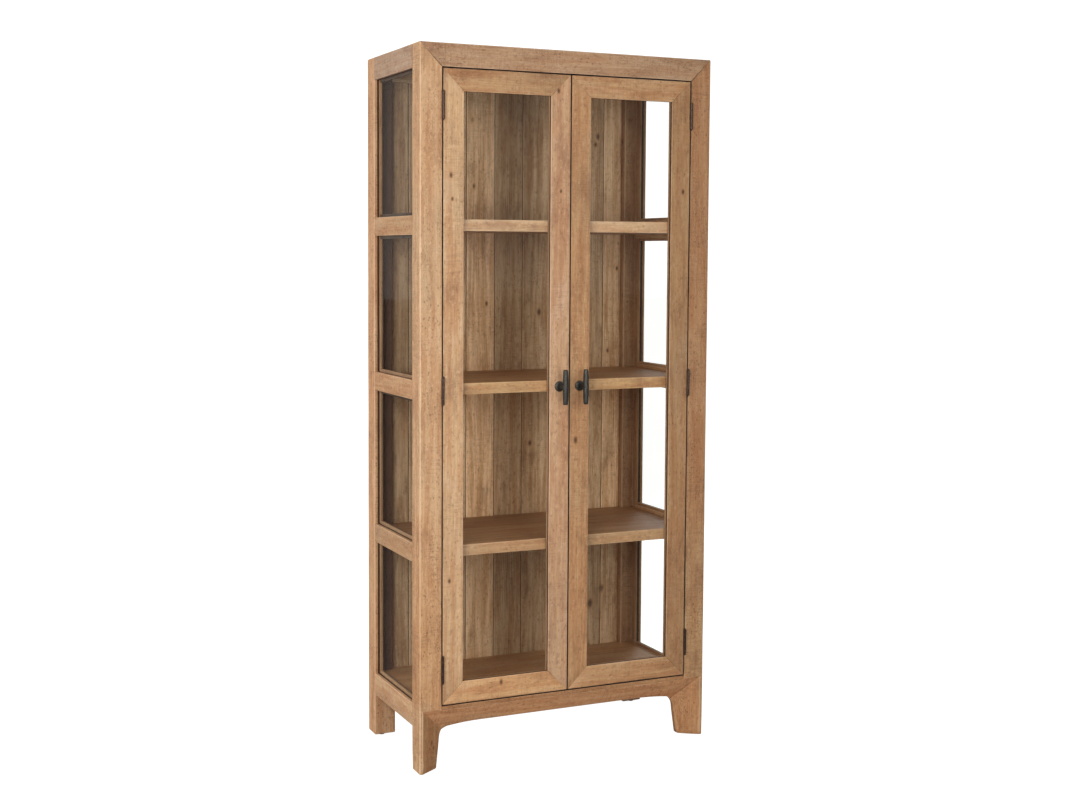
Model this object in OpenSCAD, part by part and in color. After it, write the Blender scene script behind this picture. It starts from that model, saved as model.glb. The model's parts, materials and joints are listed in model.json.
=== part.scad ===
// Glazed pantry cabinet: a post-and-rail timber carcass with glass sides, a planked back,
// three fixed shelves, a recessed arched apron and two inset glass doors on butt hinges.
// Origin: centre of the footprint on the floor, handles included. +X is to the right, -Y is the
// front, +Z is up.

/* [Cabinet] */
// Overall width
body_w = 914; // [860:2:1000]
// Overall depth
body_d = 445; // [420:5:500]
// Overall height, floor to top
body_h = 2032; // [1960:4:2100]

/* [Carcass frame] */
// Width of the posts and height of the top rails
frame_w = 65; // [60:1:70]
// Depth of the front posts
post_d = 62; // [60:1:68]
// Depth of the rear posts
rear_post_d = 60; // [56:1:68]
// Thickness of the side rails
side_t = 25; // [24:1:28]
// Depth of the rebate along the inner front corner of the rear posts
post_rebate = 22; // [16:1:24]
// Height of the three middle side rails
rail_h = 54; // [50:1:60]
// Height of the door opening's lower edge above the floor
base_top = 194; // [190:1:200]
// Height of the lip that closes the door opening below
lip_t = 12.5; // [10:0.5:16]
// Thickness of the top board
top_t = 20; // [16:1:24]
// Thickness of the bottom board
bottom_t = 18; // [16:1:22]

/* [Apron and legs] */
// Thickness of the apron at its lower edge
apron_t = 24; // [20:1:28]
// Width of the deep chamfer that runs up each front leg and along the apron
slant_w = 56; // [52:1:58]
// Depth to which the apron's ends are let into the posts
ear_t = 44; // [41:1:46]
// Height of the apron's lower edge in the middle
arch_z = 129; // [125:1:133]
// Half length of the straight part of the arch
arch_flat = 253; // [240:1:260]
// Radius of the long curve at each end of the arch
arch_r = 667; // [600:1:700]
// Radius of the tight curve from the arch into the leg
leg_r = 34; // [30:1:38]

/* [Shelves and back] */
// Thickness of each shelf
shelf_t = 32; // [25:1:36]
// Height of a shelf's top above the middle of its side rail
shelf_rise = 17; // [14:1:20]
// Distance from the front face to a shelf's front edge
shelf_set = 26.5; // [26:0.5:40]
// Width of one back plank
plank_w = 94.5; // [85:0.5:98]
// Thickness of the back planks
plank_t = 12; // [10:1:14]
// Width of the chamfer beside each plank joint
plank_v = 2; // [1:0.5:3]

/* [Doors] */
// Thickness of the doors
door_t = 22; // [20:1:24]
// Width of the door stiles and rails
door_frame = 61; // [56:1:66]
// Clearance between a door and the carcass
door_gap = 3; // [2:0.5:4]
// Clearance between the two doors
meeting_gap = 3.5; // [2:0.5:4]
// Thickness of the glass
glass_t = 4; // [3:0.5:5]
// Distance from a door's front face to its glass
glass_set = 10; // [8:1:12]
// Width of the rebate that holds the door glass
rebate_w = 8; // [6:1:10]

/* [Hinges] */
// Length of a hinge leaf
hinge_len = 76; // [64:1:90]
// Distance of the outer hinges from the middle hinge
hinge_spread = 783; // [700:1:800]
// Radius of the hinge knuckles
knuckle_r = 4; // [3.5:0.25:4]
// Radius of the hinge pins
pin_r = 2; // [1.5:0.25:2.25]
// Thickness of the hinge leaves
leaf_t = 1.6; // [1.2:0.1:1.8]
// Width of a hinge leaf inside the joint
leaf_w = 18; // [14:1:20]

/* [Handles] */
// Length of the handle bar
bar_len = 100; // [80:1:120]
// Radius of the bar at its middle
bar_r = 8.5; // [7:0.5:10]
// Radius of the bar at its ends
bar_end_r = 6.8; // [5:0.2:7]
// Distance from the door face to the bar's centre line
bar_stand = 41; // [34:1:48]
// Radius of the round backplate
plate_r = 15; // [12:0.5:18]
// Thickness of the backplate
plate_t = 5; // [3:0.5:7]
// Radius of the stem
stem_r = 5; // [4:0.5:6]

/* [Feet] */
// Radius of the floor glides
glide_r = 9; // [7:0.5:11]
// Height of the floor glides
glide_h = 5; // [4:0.5:8]

/* [Hidden] */
$fn = 48;

half_w = body_w / 2;
front_y = (bar_stand + bar_r - body_d) / 2;   // the handles count in the footprint's depth
back_y = front_y + body_d;
post_in = half_w - frame_w;             // inner face of every post
post_back = front_y + post_d;           // rear face of the front posts
rear_front = back_y - rear_post_d;      // front face of the rear posts
side_in = half_w - side_t;              // inner face of the side rails
notch_y = rear_front + post_rebate;     // front face of the rear posts inside the rebate
top_in = body_h - frame_w;              // lower edge of the top rails

// Side rails and bays between them
rail_gap = (top_in - base_top - 3 * rail_h) / 4;
function rail_z(i) = base_top + (i + 1) * rail_gap + (i + 0.5) * rail_h;
function bay_low(i) = i == 0 ? base_top : rail_z(i - 1) + rail_h / 2;
function bay_high(i) = i == 3 ? top_in : rail_z(i) - rail_h / 2;
base_bottom = base_top - frame_w;       // lower edge of the side bottom rails

// Side glass in its grooves
side_glass_x = half_w - 11 - glass_t;
groove_play = 0.2;
groove_deep = 6;
pane_in = 5;
bead_w = 9;

// Tenons on the rails
tenon_long = post_d - ear_t - 1;
tenon_t = 11;
tenon_x = half_w - 7 - tenon_t;
shoulder = 12;
top_tenon_h = 29;

// Deep chamfer: it runs up the legs, then along the apron, and meets itself on a mitre line
apron_y = post_back - apron_t;
slant_x = post_in + slant_w;
slant_top = arch_z + slant_w;
slant_run = (apron_y - front_y) / slant_w;
slant_reach = 84;
ledge_z = base_top - lip_t;
mitre_drop = arch_z - post_in;
function mitre_z(x) = x + mitre_drop;
arch_turn = 8.6;
leg_turn = 5;
fillet_x = arch_flat + (arch_r - leg_r) * sin(arch_turn);
fillet_z = arch_z - arch_r + (arch_r - leg_r) * cos(arch_turn);
mitre_turn = 45 + asin((mitre_drop - fillet_z + fillet_x) / (leg_r * sqrt(2)));
foot_in = post_in - 0.5;
arc_step = 4;
function fillet_pt(a) = [fillet_x + leg_r * cos(a), fillet_z + leg_r * sin(a)];
function long_pt(a) = [arch_flat + arch_r * sin(a), arch_z - arch_r + arch_r * cos(a)];
function steps(a0, a1, n) = [for (i = [0:n]) a0 + (a1 - a0) * i / n];
long_curve = [for (a = steps(0, arch_turn, 2 * arc_step)) long_pt(a)];
upper_fillet = [for (a = steps(90 - arch_turn, mitre_turn, 2 * arc_step)) fillet_pt(a)];
lower_fillet = [for (a = steps(mitre_turn, leg_turn, arc_step)) fillet_pt(a)];
arch_half = concat(long_curve, upper_fillet);
function flipped(pts) = [for (i = [len(pts) - 1:-1:0]) [-pts[i][0], pts[i][1]]];

// Back, top and bottom
plank_y = back_y - 4.5 - plank_t;
rear_rail_t = 18;
rear_rail_y = plank_y - rear_rail_t;
plank_low = base_bottom + 2;
plank_high = body_h - 2;
first_joint = -3.5 * plank_w - 2.75;
plank_count = 9;
tongue = 5;
tongue_t = 4;
tongue_play = 0.4;
plank_play = 0.3;
edge_play = 1;
cleat_w = 16;
cleat_h = 12;
cleat_end = 10;

// Doors
door_out = post_in - door_gap;
door_mid = meeting_gap / 2;
door_low = base_top + door_gap;
door_high = top_in - door_gap;
door_rebate = door_frame - rebate_w;
door_cz = (door_low + door_high) / 2;
pane_play = 1;
layer_y = front_y + glass_set;
door_back = front_y + door_t;

// Hinges
pin_x = post_in - door_gap / 2;
pin_y = front_y - 4.5;
leaf_start = front_y - 0.3;
leaf_let_in = 1;
knuckles = 5;
knuckle_h = hinge_len / knuckles;
knuckle_play = 0.3;
pin_play = 0.08;
tip_h = 3;
tip_r = 3.2;
tip_end_r = 1.2;
screw_r = 1.5;
screw_head_r = 3;
screw_len = 18;
screw_y = front_y + 10;
screw_pitch = 26;

// Handles and catches
handle_x = door_mid + door_frame / 2;
handle_z = door_cz + 1.5;
handle_screw_r = 2;
handle_bore_play = 0.2;
handle_screw_deep = 15;
handle_tip_y = front_y - plate_t - handle_screw_deep;
handle_head_r = 5;
handle_head_t = 2.5;
plate_slope = 2;
bar_y = front_y - bar_stand;
bar_half = bar_len / 2;
bar_ease = 1.5;
bar_belly = 8;
bar_pts = [[0, -bar_half], [bar_end_r - bar_ease, -bar_half], [bar_end_r, bar_ease - bar_half],
           [bar_r, -bar_belly], [bar_r, bar_belly],
           [bar_end_r, bar_half - bar_ease], [bar_end_r - bar_ease, bar_half], [0, bar_half]];
catch_x = 12;
catch_w = 36;
catch_t = 12;
catch_h = 10;
catch_y = door_back + 2;
strike_t = 1;
strike_inset = 6;
strike_h = 14;

// ---- Helpers: every one-sided part is drawn on the right, and side(-1) mirrors it to the left
module side(s) {
    if (s < 0) mirror([1, 0, 0]) children();
    else children();
}
module box(low, high) {
    translate(low) cube(high - low);
}
module prism_y(y0, y1) {
    translate([0, y1, 0]) rotate([90, 0, 0]) linear_extrude(height = y1 - y0) children();
}
module rod_x(x0, x1, y, z, r0, r1) {
    translate([x0, y, z]) rotate([0, 90, 0]) cylinder(h = x1 - x0, r1 = r0, r2 = r1);
}
module rod_y(x, y0, y1, z, r0, r1) {
    translate([x, y1, z]) rotate([90, 0, 0]) cylinder(h = y1 - y0, r1 = r1, r2 = r0);
}

// ---- Joinery shared by the posts and the rails
module side_tenon(z0, z1) {
    box([tenon_x, post_back - tenon_long, z0],
        [tenon_x + tenon_t, rear_front + tenon_long, z1]);
}
module side_tenons() {
    for (i = [0:2])
        side_tenon(rail_z(i) - rail_h / 2 + shoulder, rail_z(i) + rail_h / 2 - shoulder);
    side_tenon(base_bottom + shoulder, base_top - shoulder);
    side_tenon(top_in + shoulder, top_in + shoulder + top_tenon_h);
}
module side_groove(i) {
    box([side_glass_x - groove_play, post_back - groove_deep, bay_low(i) - groove_deep],
        [side_glass_x + glass_t + groove_play, rear_front + groove_deep, bay_high(i) + groove_deep]);
}
module rear_tenon(z0, z1) {
    box([-post_in - tenon_long, rear_rail_y + 4, z0], [post_in + tenon_long, plank_y - 4, z1]);
}
module rear_tenons() {
    rear_tenon(top_in + shoulder, body_h - shoulder);
    rear_tenon(plank_low + shoulder, base_top - bottom_t - shoulder);
}

// ---- Hinges, at every height
module at_hinges() {
    for (k = [-1:1]) translate([0, 0, door_cz + k * hinge_spread]) children();
}
module knuckle(i, bore) {
    z0 = -hinge_len / 2 + i * knuckle_h + knuckle_play / 2;
    translate([pin_x, pin_y, z0]) difference() {
        cylinder(h = knuckle_h - knuckle_play, r = knuckle_r);
        translate([0, 0, -1]) cylinder(h = knuckle_h + 2, r = bore);
    }
}
module knuckle_web(i, x0, bore) {
    z0 = -hinge_len / 2 + i * knuckle_h + knuckle_play / 2;
    difference() {
        box([x0, pin_y, z0], [x0 + leaf_t, leaf_start, z0 + knuckle_h - knuckle_play]);
        translate([pin_x, pin_y, z0 - 1]) cylinder(h = knuckle_h + 2, r = bore);
    }
}
frame_leaf_x = post_in + leaf_let_in - leaf_t;
door_leaf_x = door_out - leaf_let_in;
module frame_screw(z) {
    rod_x(frame_leaf_x, frame_leaf_x + leaf_t, screw_y, z, screw_head_r, screw_r);
    rod_x(frame_leaf_x + leaf_t, frame_leaf_x + screw_len, screw_y, z, screw_r, screw_r);
}
module door_screw(z) {
    rod_x(door_leaf_x, door_leaf_x + leaf_t, screw_y, z, screw_r, screw_head_r);
    rod_x(door_leaf_x - screw_len, door_leaf_x, screw_y, z, screw_r, screw_r);
}
module frame_screws() {
    at_hinges() for (k = [-1:1]) frame_screw(k * screw_pitch);
}
module door_screws() {
    at_hinges() for (k = [-1:1]) door_screw(k * screw_pitch);
}
module frame_plate() {
    box([frame_leaf_x, leaf_start, -hinge_len / 2],
        [frame_leaf_x + leaf_t, front_y + leaf_w, hinge_len / 2]);
}
module door_plate() {
    box([door_leaf_x, leaf_start, -hinge_len / 2],
        [door_leaf_x + leaf_t, front_y + leaf_w, hinge_len / 2]);
}

// ---- Posts
module leg_chamfer() {
    linear_extrude(height = slant_top)
        polygon([[slant_x, front_y], [slant_x - slant_reach, front_y + slant_run * slant_reach],
                 [slant_x - slant_reach, front_y - 1], [slant_x, front_y - 1]]);
}
module apron_chamfer() {
    translate([-half_w, 0, 0]) rotate([90, 0, 90]) linear_extrude(height = body_w)
        polygon([[front_y, slant_top], [front_y + slant_run * slant_reach, slant_top - slant_reach],
                 [front_y - 1, slant_top - slant_reach], [front_y - 1, slant_top]]);
}
module apron_ear(front) {
    prism_y(front, front_y + ear_t)
        polygon([[post_in, mitre_z(post_in)], [slant_x, slant_top], [post_in, slant_top]]);
}
module front_post() {
    color("#b98c60") difference() {
        prism_y(front_y, post_back)
            polygon([[half_w, glide_h], [half_w, body_h], [post_in, top_in], [post_in, glide_h]]);
        leg_chamfer();
        apron_ear(front_y - 1);
        side_tenons();
        for (i = [0:3]) side_groove(i);
        at_hinges() frame_plate();
        frame_screws();
    }
}
module knee_block() {
    difference() {
        prism_y(front_y, post_back)
            polygon(concat([[post_in, mitre_z(post_in)]], lower_fillet,
                           [[foot_in, glide_h], [post_in, glide_h]]));
        leg_chamfer();
    }
}
module leg_knee_blocks() {
    color("#a5774a") for (s = [-1, 1]) side(s) knee_block();
}
module rear_post() {
    color("#b48659") difference() {
        box([post_in, rear_front, glide_h], [half_w, back_y, body_h]);
        box([post_in - 1, rear_front - 1, base_top - bottom_t], [side_in, notch_y, body_h + 1]);
        side_tenons();
        for (i = [0:3]) side_groove(i);
        rear_tenons();
    }
}
module front_left_post() side(-1) front_post();
module front_right_post() side(1) front_post();
module rear_left_post() side(-1) rear_post();
module rear_right_post() side(1) rear_post();

// ---- Front and rear rails
module front_top_rail() {
    color("#b28a66") prism_y(front_y, post_back)
        polygon([[-half_w, body_h], [-post_in, top_in], [post_in, top_in], [half_w, body_h]]);
}
module front_bottom_lip() {
    color("#b98f66") box([-post_in, front_y, ledge_z], [post_in, post_back, base_top]);
}
module front_apron() {
    color("#94683f") difference() {
        union() {
            prism_y(front_y, post_back)
                polygon(concat([[-post_in, ledge_z], [-post_in, mitre_z(post_in)]], flipped(arch_half),
                               arch_half, [[post_in, mitre_z(post_in)], [post_in, ledge_z]]));
            side(-1) apron_ear(front_y);
            side(1) apron_ear(front_y);
        }
        apron_chamfer();
    }
}
module rear_top_rail() {
    color("#a77d55") union() {
        box([-post_in, rear_rail_y, top_in], [post_in, plank_y, body_h]);
        rear_tenon(top_in + shoulder, body_h - shoulder);
    }
}
module rear_bottom_rail() {
    color("#a77d55") union() {
        box([-post_in, rear_rail_y, plank_low], [post_in, plank_y, base_top - bottom_t]);
        rear_tenon(plank_low + shoulder, base_top - bottom_t - shoulder);
    }
}

// ---- Side frames
module side_rail(z0, z1, tenon0, tenon1) {
    color("#bd9165") difference() {
        union() {
            box([side_in, post_back, z0], [half_w, rear_front, z1]);
            side_tenon(tenon0, tenon1);
        }
        for (i = [0:3]) side_groove(i);
    }
}
module middle_side_rail(i) {
    z = rail_z(i);
    side_rail(z - rail_h / 2, z + rail_h / 2, z - rail_h / 2 + shoulder, z + rail_h / 2 - shoulder);
}
module top_side_rail() side_rail(top_in, body_h, top_in + shoulder, top_in + shoulder + top_tenon_h);
module bottom_side_rail() side_rail(base_bottom, base_top, base_bottom + shoulder, base_top - shoulder);
module left_side_top_rail() side(-1) top_side_rail();
module left_side_upper_rail() side(-1) middle_side_rail(2);
module left_side_middle_rail() side(-1) middle_side_rail(1);
module left_side_lower_rail() side(-1) middle_side_rail(0);
module left_side_bottom_rail() side(-1) bottom_side_rail();
module right_side_top_rail() side(1) top_side_rail();
module right_side_upper_rail() side(1) middle_side_rail(2);
module right_side_middle_rail() side(1) middle_side_rail(1);
module right_side_lower_rail() side(1) middle_side_rail(0);
module right_side_bottom_rail() side(1) bottom_side_rail();

module side_glass() {
    color("#cfe0de", 0.35) for (i = [0:3])
        box([side_glass_x, post_back - pane_in, bay_low(i) - pane_in],
            [side_glass_x + glass_t, rear_front + pane_in, bay_high(i) + pane_in]);
}
module bay_beads(i) {
    low = bay_low(i);
    high = bay_high(i);
    for (y = [post_back, rear_front - bead_w])
        box([side_in, y, low], [side_glass_x, y + bead_w, high]);
    for (z = [low, high - bead_w])
        box([side_in, post_back + bead_w, z], [side_glass_x, rear_front - bead_w, z + bead_w]);
}
module side_beads() {
    color("#a97f58") for (i = [0:3]) bay_beads(i);
}
module left_side_glass() side(-1) side_glass();
module right_side_glass() side(1) side_glass();
module left_side_beads() side(-1) side_beads();
module right_side_beads() side(1) side_beads();

// ---- Boards, shelves and back
module notched_board(z0, z1, front_edge, back_edge, play) {
    box([-side_in + play, post_back + play, z0], [side_in - play, notch_y - play, z1]);
    if (front_edge < post_back)
        box([-post_in + play, front_edge, z0], [post_in - play, post_back + play, z1]);
    box([-post_in + play, notch_y - play, z0], [post_in - play, back_edge, z1]);
}
module top_board() {
    color("#b08257") notched_board(body_h - top_t, body_h, post_back, rear_rail_y, 0);
}
module bottom_board() {
    color("#8f6641") notched_board(base_top - bottom_t, base_top, post_back, plank_y, 0);
}
module shelf(i) {
    top = rail_z(i) + shelf_rise;
    color("#8f6641") notched_board(top - shelf_t, top, front_y + shelf_set, plank_y - edge_play, edge_play);
}
module upper_shelf() shelf(2);
module middle_shelf() shelf(1);
module lower_shelf() shelf(0);

function joint_x(i) = i == 0 ? -post_in : (i == plank_count ? post_in : first_joint + (i - 1) * plank_w);
module plank(i) {
    x0 = joint_x(i) + (i == 0 ? 0 : plank_play);
    x1 = joint_x(i + 1);
    y1 = plank_y + plank_t;
    tongue_y = plank_y + (plank_t - tongue_t) / 2;
    groove = tongue + tongue_play;
    translate([0, 0, plank_low]) linear_extrude(height = plank_high - plank_low) difference() {
        union() {
            polygon([[x0 + plank_v, plank_y], [x1 - plank_v, plank_y], [x1, plank_y + plank_v],
                     [x1, y1], [x0, y1], [x0, plank_y + plank_v]]);
            if (i < plank_count - 1)
                translate([x1 - 1, tongue_y]) square([tongue + 1, tongue_t]);
        }
        if (i > 0)
            translate([x0 - 1, tongue_y - tongue_play / 2]) square([groove + 1, tongue_t + tongue_play]);
    }
}
module back_planks() {
    color("#9a7450") for (i = [0:plank_count - 1]) plank(i);
}
module cleat(top) {
    for (s = [-1, 1]) side(s)
        box([side_in - cleat_w, post_back + cleat_end, top - cleat_h],
            [side_in, rear_front - cleat_end, top]);
}
module shelf_cleats() {
    color("#86603d") {
        for (i = [0:2]) cleat(rail_z(i) + shelf_rise - shelf_t);
        cleat(base_top - bottom_t);
        cleat(body_h - top_t);
    }
}
module foot_glides() {
    color("#2b2622") for (s = [-1, 1]) side(s) {
        translate([post_in + 38, post_back - 20, 0]) cylinder(h = glide_h, r = glide_r);
        translate([post_in + 38, rear_front + 18, 0]) cylinder(h = glide_h, r = glide_r);
    }
}

// ---- Hinge hardware on the carcass
module frame_leaf() {
    difference() {
        union() {
            frame_plate();
            for (i = [0, 2, 4]) {
                knuckle(i, pin_r);
                knuckle_web(i, frame_leaf_x, pin_r);
            }
        }
        for (k = [-1:1]) frame_screw(k * screw_pitch);
    }
}
module hinge_frame_leaves() {
    color("#3a302a") for (s = [-1, 1]) side(s) at_hinges() frame_leaf();
}
module hinge_pins() {
    color("#463a32") for (s = [-1, 1]) side(s) at_hinges() translate([pin_x, pin_y, 0]) {
        translate([0, 0, -hinge_len / 2]) cylinder(h = hinge_len, r = pin_r);
        translate([0, 0, hinge_len / 2]) cylinder(h = tip_h, r1 = tip_r, r2 = tip_end_r);
        translate([0, 0, -hinge_len / 2 - tip_h]) cylinder(h = tip_h, r1 = tip_end_r, r2 = tip_r);
    }
}
module hinge_frame_screws() {
    color("#4a3f37") for (s = [-1, 1]) side(s) frame_screws();
}
module door_catches() {
    color("#3b3733") for (s = [-1, 1]) side(s)
        box([catch_x, catch_y, top_in - catch_h], [catch_x + catch_w, catch_y + catch_t, top_in]);
}

// ---- Doors
function stile_pts(outer, w, dir) = [[outer, door_low], [outer + dir * w, door_low + w],
                                     [outer + dir * w, door_high - w], [outer, door_high]];
function rail_pts(outer, w, dir) = [[door_mid, outer], [door_out, outer],
                                    [door_out - w, outer + dir * w], [door_mid + w, outer + dir * w]];
module door_stile(outer, dir) {
    prism_y(front_y, layer_y) polygon(stile_pts(outer, door_frame, dir));
    prism_y(layer_y, door_back) polygon(stile_pts(outer, door_rebate, dir));
}
module door_rail(outer, dir) {
    prism_y(front_y, layer_y) polygon(rail_pts(outer, door_frame, dir));
    prism_y(layer_y, door_back) polygon(rail_pts(outer, door_rebate, dir));
}
module hinge_stile() {
    color("#b98a5a") difference() {
        door_stile(door_out, -1);
        at_hinges() door_plate();
        door_screws();
    }
}
module meeting_stile() {
    color("#b98a5a") difference() {
        door_stile(door_mid, 1);
        rod_y(handle_x, front_y - 1, door_back + 1, handle_z,
              handle_screw_r + handle_bore_play, handle_screw_r + handle_bore_play);
    }
}
module door_top_rail() {
    color("#b98a5a") door_rail(door_high, -1);
}
module door_bottom_rail() {
    color("#b98a5a") door_rail(door_low, 1);
}
module door_glass() {
    inset = door_rebate + pane_play;
    color("#cfe0de", 0.35) box([door_mid + inset, layer_y, door_low + inset],
                               [door_out - inset, layer_y + glass_t, door_high - inset]);
}
module bead(pts, inner) {
    prism_y(layer_y + glass_t, door_back) polygon([pts[1], pts[2], inner[2], inner[1]]);
}
module door_beads() {
    color("#a97f58") {
        bead(stile_pts(door_out, door_rebate, -1), stile_pts(door_out, door_frame, -1));
        bead(stile_pts(door_mid, door_rebate, 1), stile_pts(door_mid, door_frame, 1));
        for (end = [[door_high, -1], [door_low, 1]]) {
            outer = rail_pts(end[0], door_rebate, end[1]);
            inner = rail_pts(end[0], door_frame, end[1]);
            prism_y(layer_y + glass_t, door_back) polygon([outer[2], outer[3], inner[3], inner[2]]);
        }
    }
}
module door_leaves() {
    color("#3a302a") at_hinges() difference() {
        union() {
            door_plate();
            for (i = [1, 3]) {
                knuckle(i, pin_r + pin_play);
                knuckle_web(i, door_leaf_x, pin_r + pin_play);
            }
        }
        for (k = [-1:1]) door_screw(k * screw_pitch);
    }
}
module door_hinge_screws() {
    color("#4a3f37") door_screws();
}
module handle_plate() {
    color("#26231f") difference() {
        rod_y(handle_x, front_y - plate_t, front_y, handle_z, plate_r - plate_slope, plate_r);
        rod_y(handle_x, front_y - plate_t - 1, front_y + 1, handle_z,
              handle_screw_r + handle_bore_play, handle_screw_r + handle_bore_play);
    }
}
module handle_bar() {
    color("#26231f") difference() {
        union() {
            translate([handle_x, bar_y, handle_z]) rotate_extrude() polygon(bar_pts);
            rod_y(handle_x, bar_y + 2, front_y - plate_t, handle_z, stem_r, stem_r);
        }
        rod_y(handle_x, handle_tip_y, front_y, handle_z, handle_screw_r, handle_screw_r);
    }
}
module handle_screw() {
    color("#6a625a") {
        rod_y(handle_x, handle_tip_y, door_back, handle_z, handle_screw_r, handle_screw_r);
        rod_y(handle_x, door_back, door_back + handle_head_t, handle_z, handle_head_r, handle_head_r - 1);
    }
}
module strike_plate() {
    color("#8a8279") box([catch_x + strike_inset, door_back, door_high - strike_h],
                         [catch_x + catch_w - strike_inset, door_back + strike_t, door_high - 1]);
}
module left_door_hinge_stile() side(-1) hinge_stile();
module left_door_meeting_stile() side(-1) meeting_stile();
module left_door_top_rail() side(-1) door_top_rail();
module left_door_bottom_rail() side(-1) door_bottom_rail();
module left_door_glass() side(-1) door_glass();
module left_door_beads() side(-1) door_beads();
module left_hinge_leaves() side(-1) door_leaves();
module left_hinge_screws() side(-1) door_hinge_screws();
module left_handle_plate() side(-1) handle_plate();
module left_handle_bar() side(-1) handle_bar();
module left_handle_screw() side(-1) handle_screw();
module left_strike_plate() side(-1) strike_plate();
module right_door_hinge_stile() side(1) hinge_stile();
module right_door_meeting_stile() side(1) meeting_stile();
module right_door_top_rail() side(1) door_top_rail();
module right_door_bottom_rail() side(1) door_bottom_rail();
module right_door_glass() side(1) door_glass();
module right_door_beads() side(1) door_beads();
module right_hinge_leaves() side(1) door_leaves();
module right_hinge_screws() side(1) door_hinge_screws();
module right_handle_plate() side(1) handle_plate();
module right_handle_bar() side(1) handle_bar();
module right_handle_screw() side(1) handle_screw();
module right_strike_plate() side(1) strike_plate();

front_left_post();
front_right_post();
rear_left_post();
rear_right_post();
leg_knee_blocks();
front_top_rail();
front_bottom_lip();
front_apron();
rear_top_rail();
rear_bottom_rail();
top_board();
bottom_board();
upper_shelf();
middle_shelf();
lower_shelf();
left_side_top_rail();
left_side_upper_rail();
left_side_middle_rail();
left_side_lower_rail();
left_side_bottom_rail();
right_side_top_rail();
right_side_upper_rail();
right_side_middle_rail();
right_side_lower_rail();
right_side_bottom_rail();
left_side_glass();
right_side_glass();
left_side_beads();
right_side_beads();
back_planks();
shelf_cleats();
foot_glides();
hinge_frame_leaves();
hinge_pins();
hinge_frame_screws();
door_catches();
left_door_hinge_stile();
left_door_meeting_stile();
left_door_top_rail();
left_door_bottom_rail();
left_door_glass();
left_door_beads();
left_hinge_leaves();
left_hinge_screws();
left_handle_plate();
left_handle_bar();
left_handle_screw();
left_strike_plate();
right_door_hinge_stile();
right_door_meeting_stile();
right_door_top_rail();
right_door_bottom_rail();
right_door_glass();
right_door_beads();
right_hinge_leaves();
right_hinge_screws();
right_handle_plate();
right_handle_bar();
right_handle_screw();
right_strike_plate();
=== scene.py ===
import json
import math
import random
import zlib

import bmesh
import bpy
from mathutils import Matrix, Vector, noise

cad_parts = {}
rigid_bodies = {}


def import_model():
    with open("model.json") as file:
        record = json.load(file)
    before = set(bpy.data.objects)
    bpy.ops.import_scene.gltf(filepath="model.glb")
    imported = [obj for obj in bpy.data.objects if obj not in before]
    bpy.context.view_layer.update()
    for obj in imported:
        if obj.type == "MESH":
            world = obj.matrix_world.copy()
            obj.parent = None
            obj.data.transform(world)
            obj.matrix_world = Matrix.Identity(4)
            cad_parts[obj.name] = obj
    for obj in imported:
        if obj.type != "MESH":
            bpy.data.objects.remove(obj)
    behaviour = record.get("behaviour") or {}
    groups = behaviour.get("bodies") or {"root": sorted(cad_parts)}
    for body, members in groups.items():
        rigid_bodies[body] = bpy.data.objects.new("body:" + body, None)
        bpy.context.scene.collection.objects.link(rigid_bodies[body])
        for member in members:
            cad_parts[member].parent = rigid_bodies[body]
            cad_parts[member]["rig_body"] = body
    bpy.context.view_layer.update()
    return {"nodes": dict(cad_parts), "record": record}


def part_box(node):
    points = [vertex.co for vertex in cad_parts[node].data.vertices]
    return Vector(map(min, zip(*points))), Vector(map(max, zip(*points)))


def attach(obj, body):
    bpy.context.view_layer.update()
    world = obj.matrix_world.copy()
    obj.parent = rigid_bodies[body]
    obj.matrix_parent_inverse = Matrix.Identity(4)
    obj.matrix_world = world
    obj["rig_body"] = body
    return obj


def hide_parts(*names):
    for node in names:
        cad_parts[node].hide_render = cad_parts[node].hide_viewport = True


noise.seed_set(7)        # noise vectors start from the clock otherwise
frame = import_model()
scene = bpy.context.scene
MM = 0.001
CLOSE = 1e-5            # two CAD vertices nearer than this are on the same plane

# -------- main planes, from the CAD boxes
POST_LO, POST_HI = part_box("front_right_post")
REAR_LO, REAR_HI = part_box("rear_right_post")
TOP_LO, TOP_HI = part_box("front_top_rail")
LIP_LO, LIP_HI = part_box("front_bottom_lip")
APRON_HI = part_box("front_apron")[1]
DOOR_LO, DOOR_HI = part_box("right_door_meeting_stile")[0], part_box("right_door_hinge_stile")[1]
PANE_LO, PANE_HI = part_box("right_side_glass")
SIDE_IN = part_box("right_side_beads")[0].x
BOARD_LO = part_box("bottom_board")[0]
POST_IN, HALF_W = POST_LO.x, POST_HI.x
FRONT, POST_BACK = POST_LO.y, POST_HI.y
REAR_FRONT, BACK = REAR_LO.y, REAR_HI.y
FOOT, TOP = POST_LO.z, POST_HI.z
LEDGE = LIP_LO.z
SLANT_X, SLANT_Z = APRON_HI.x, APRON_HI.z          # outer and upper edge of the deep chamfer
SLANT_W = SLANT_X - POST_IN


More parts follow.
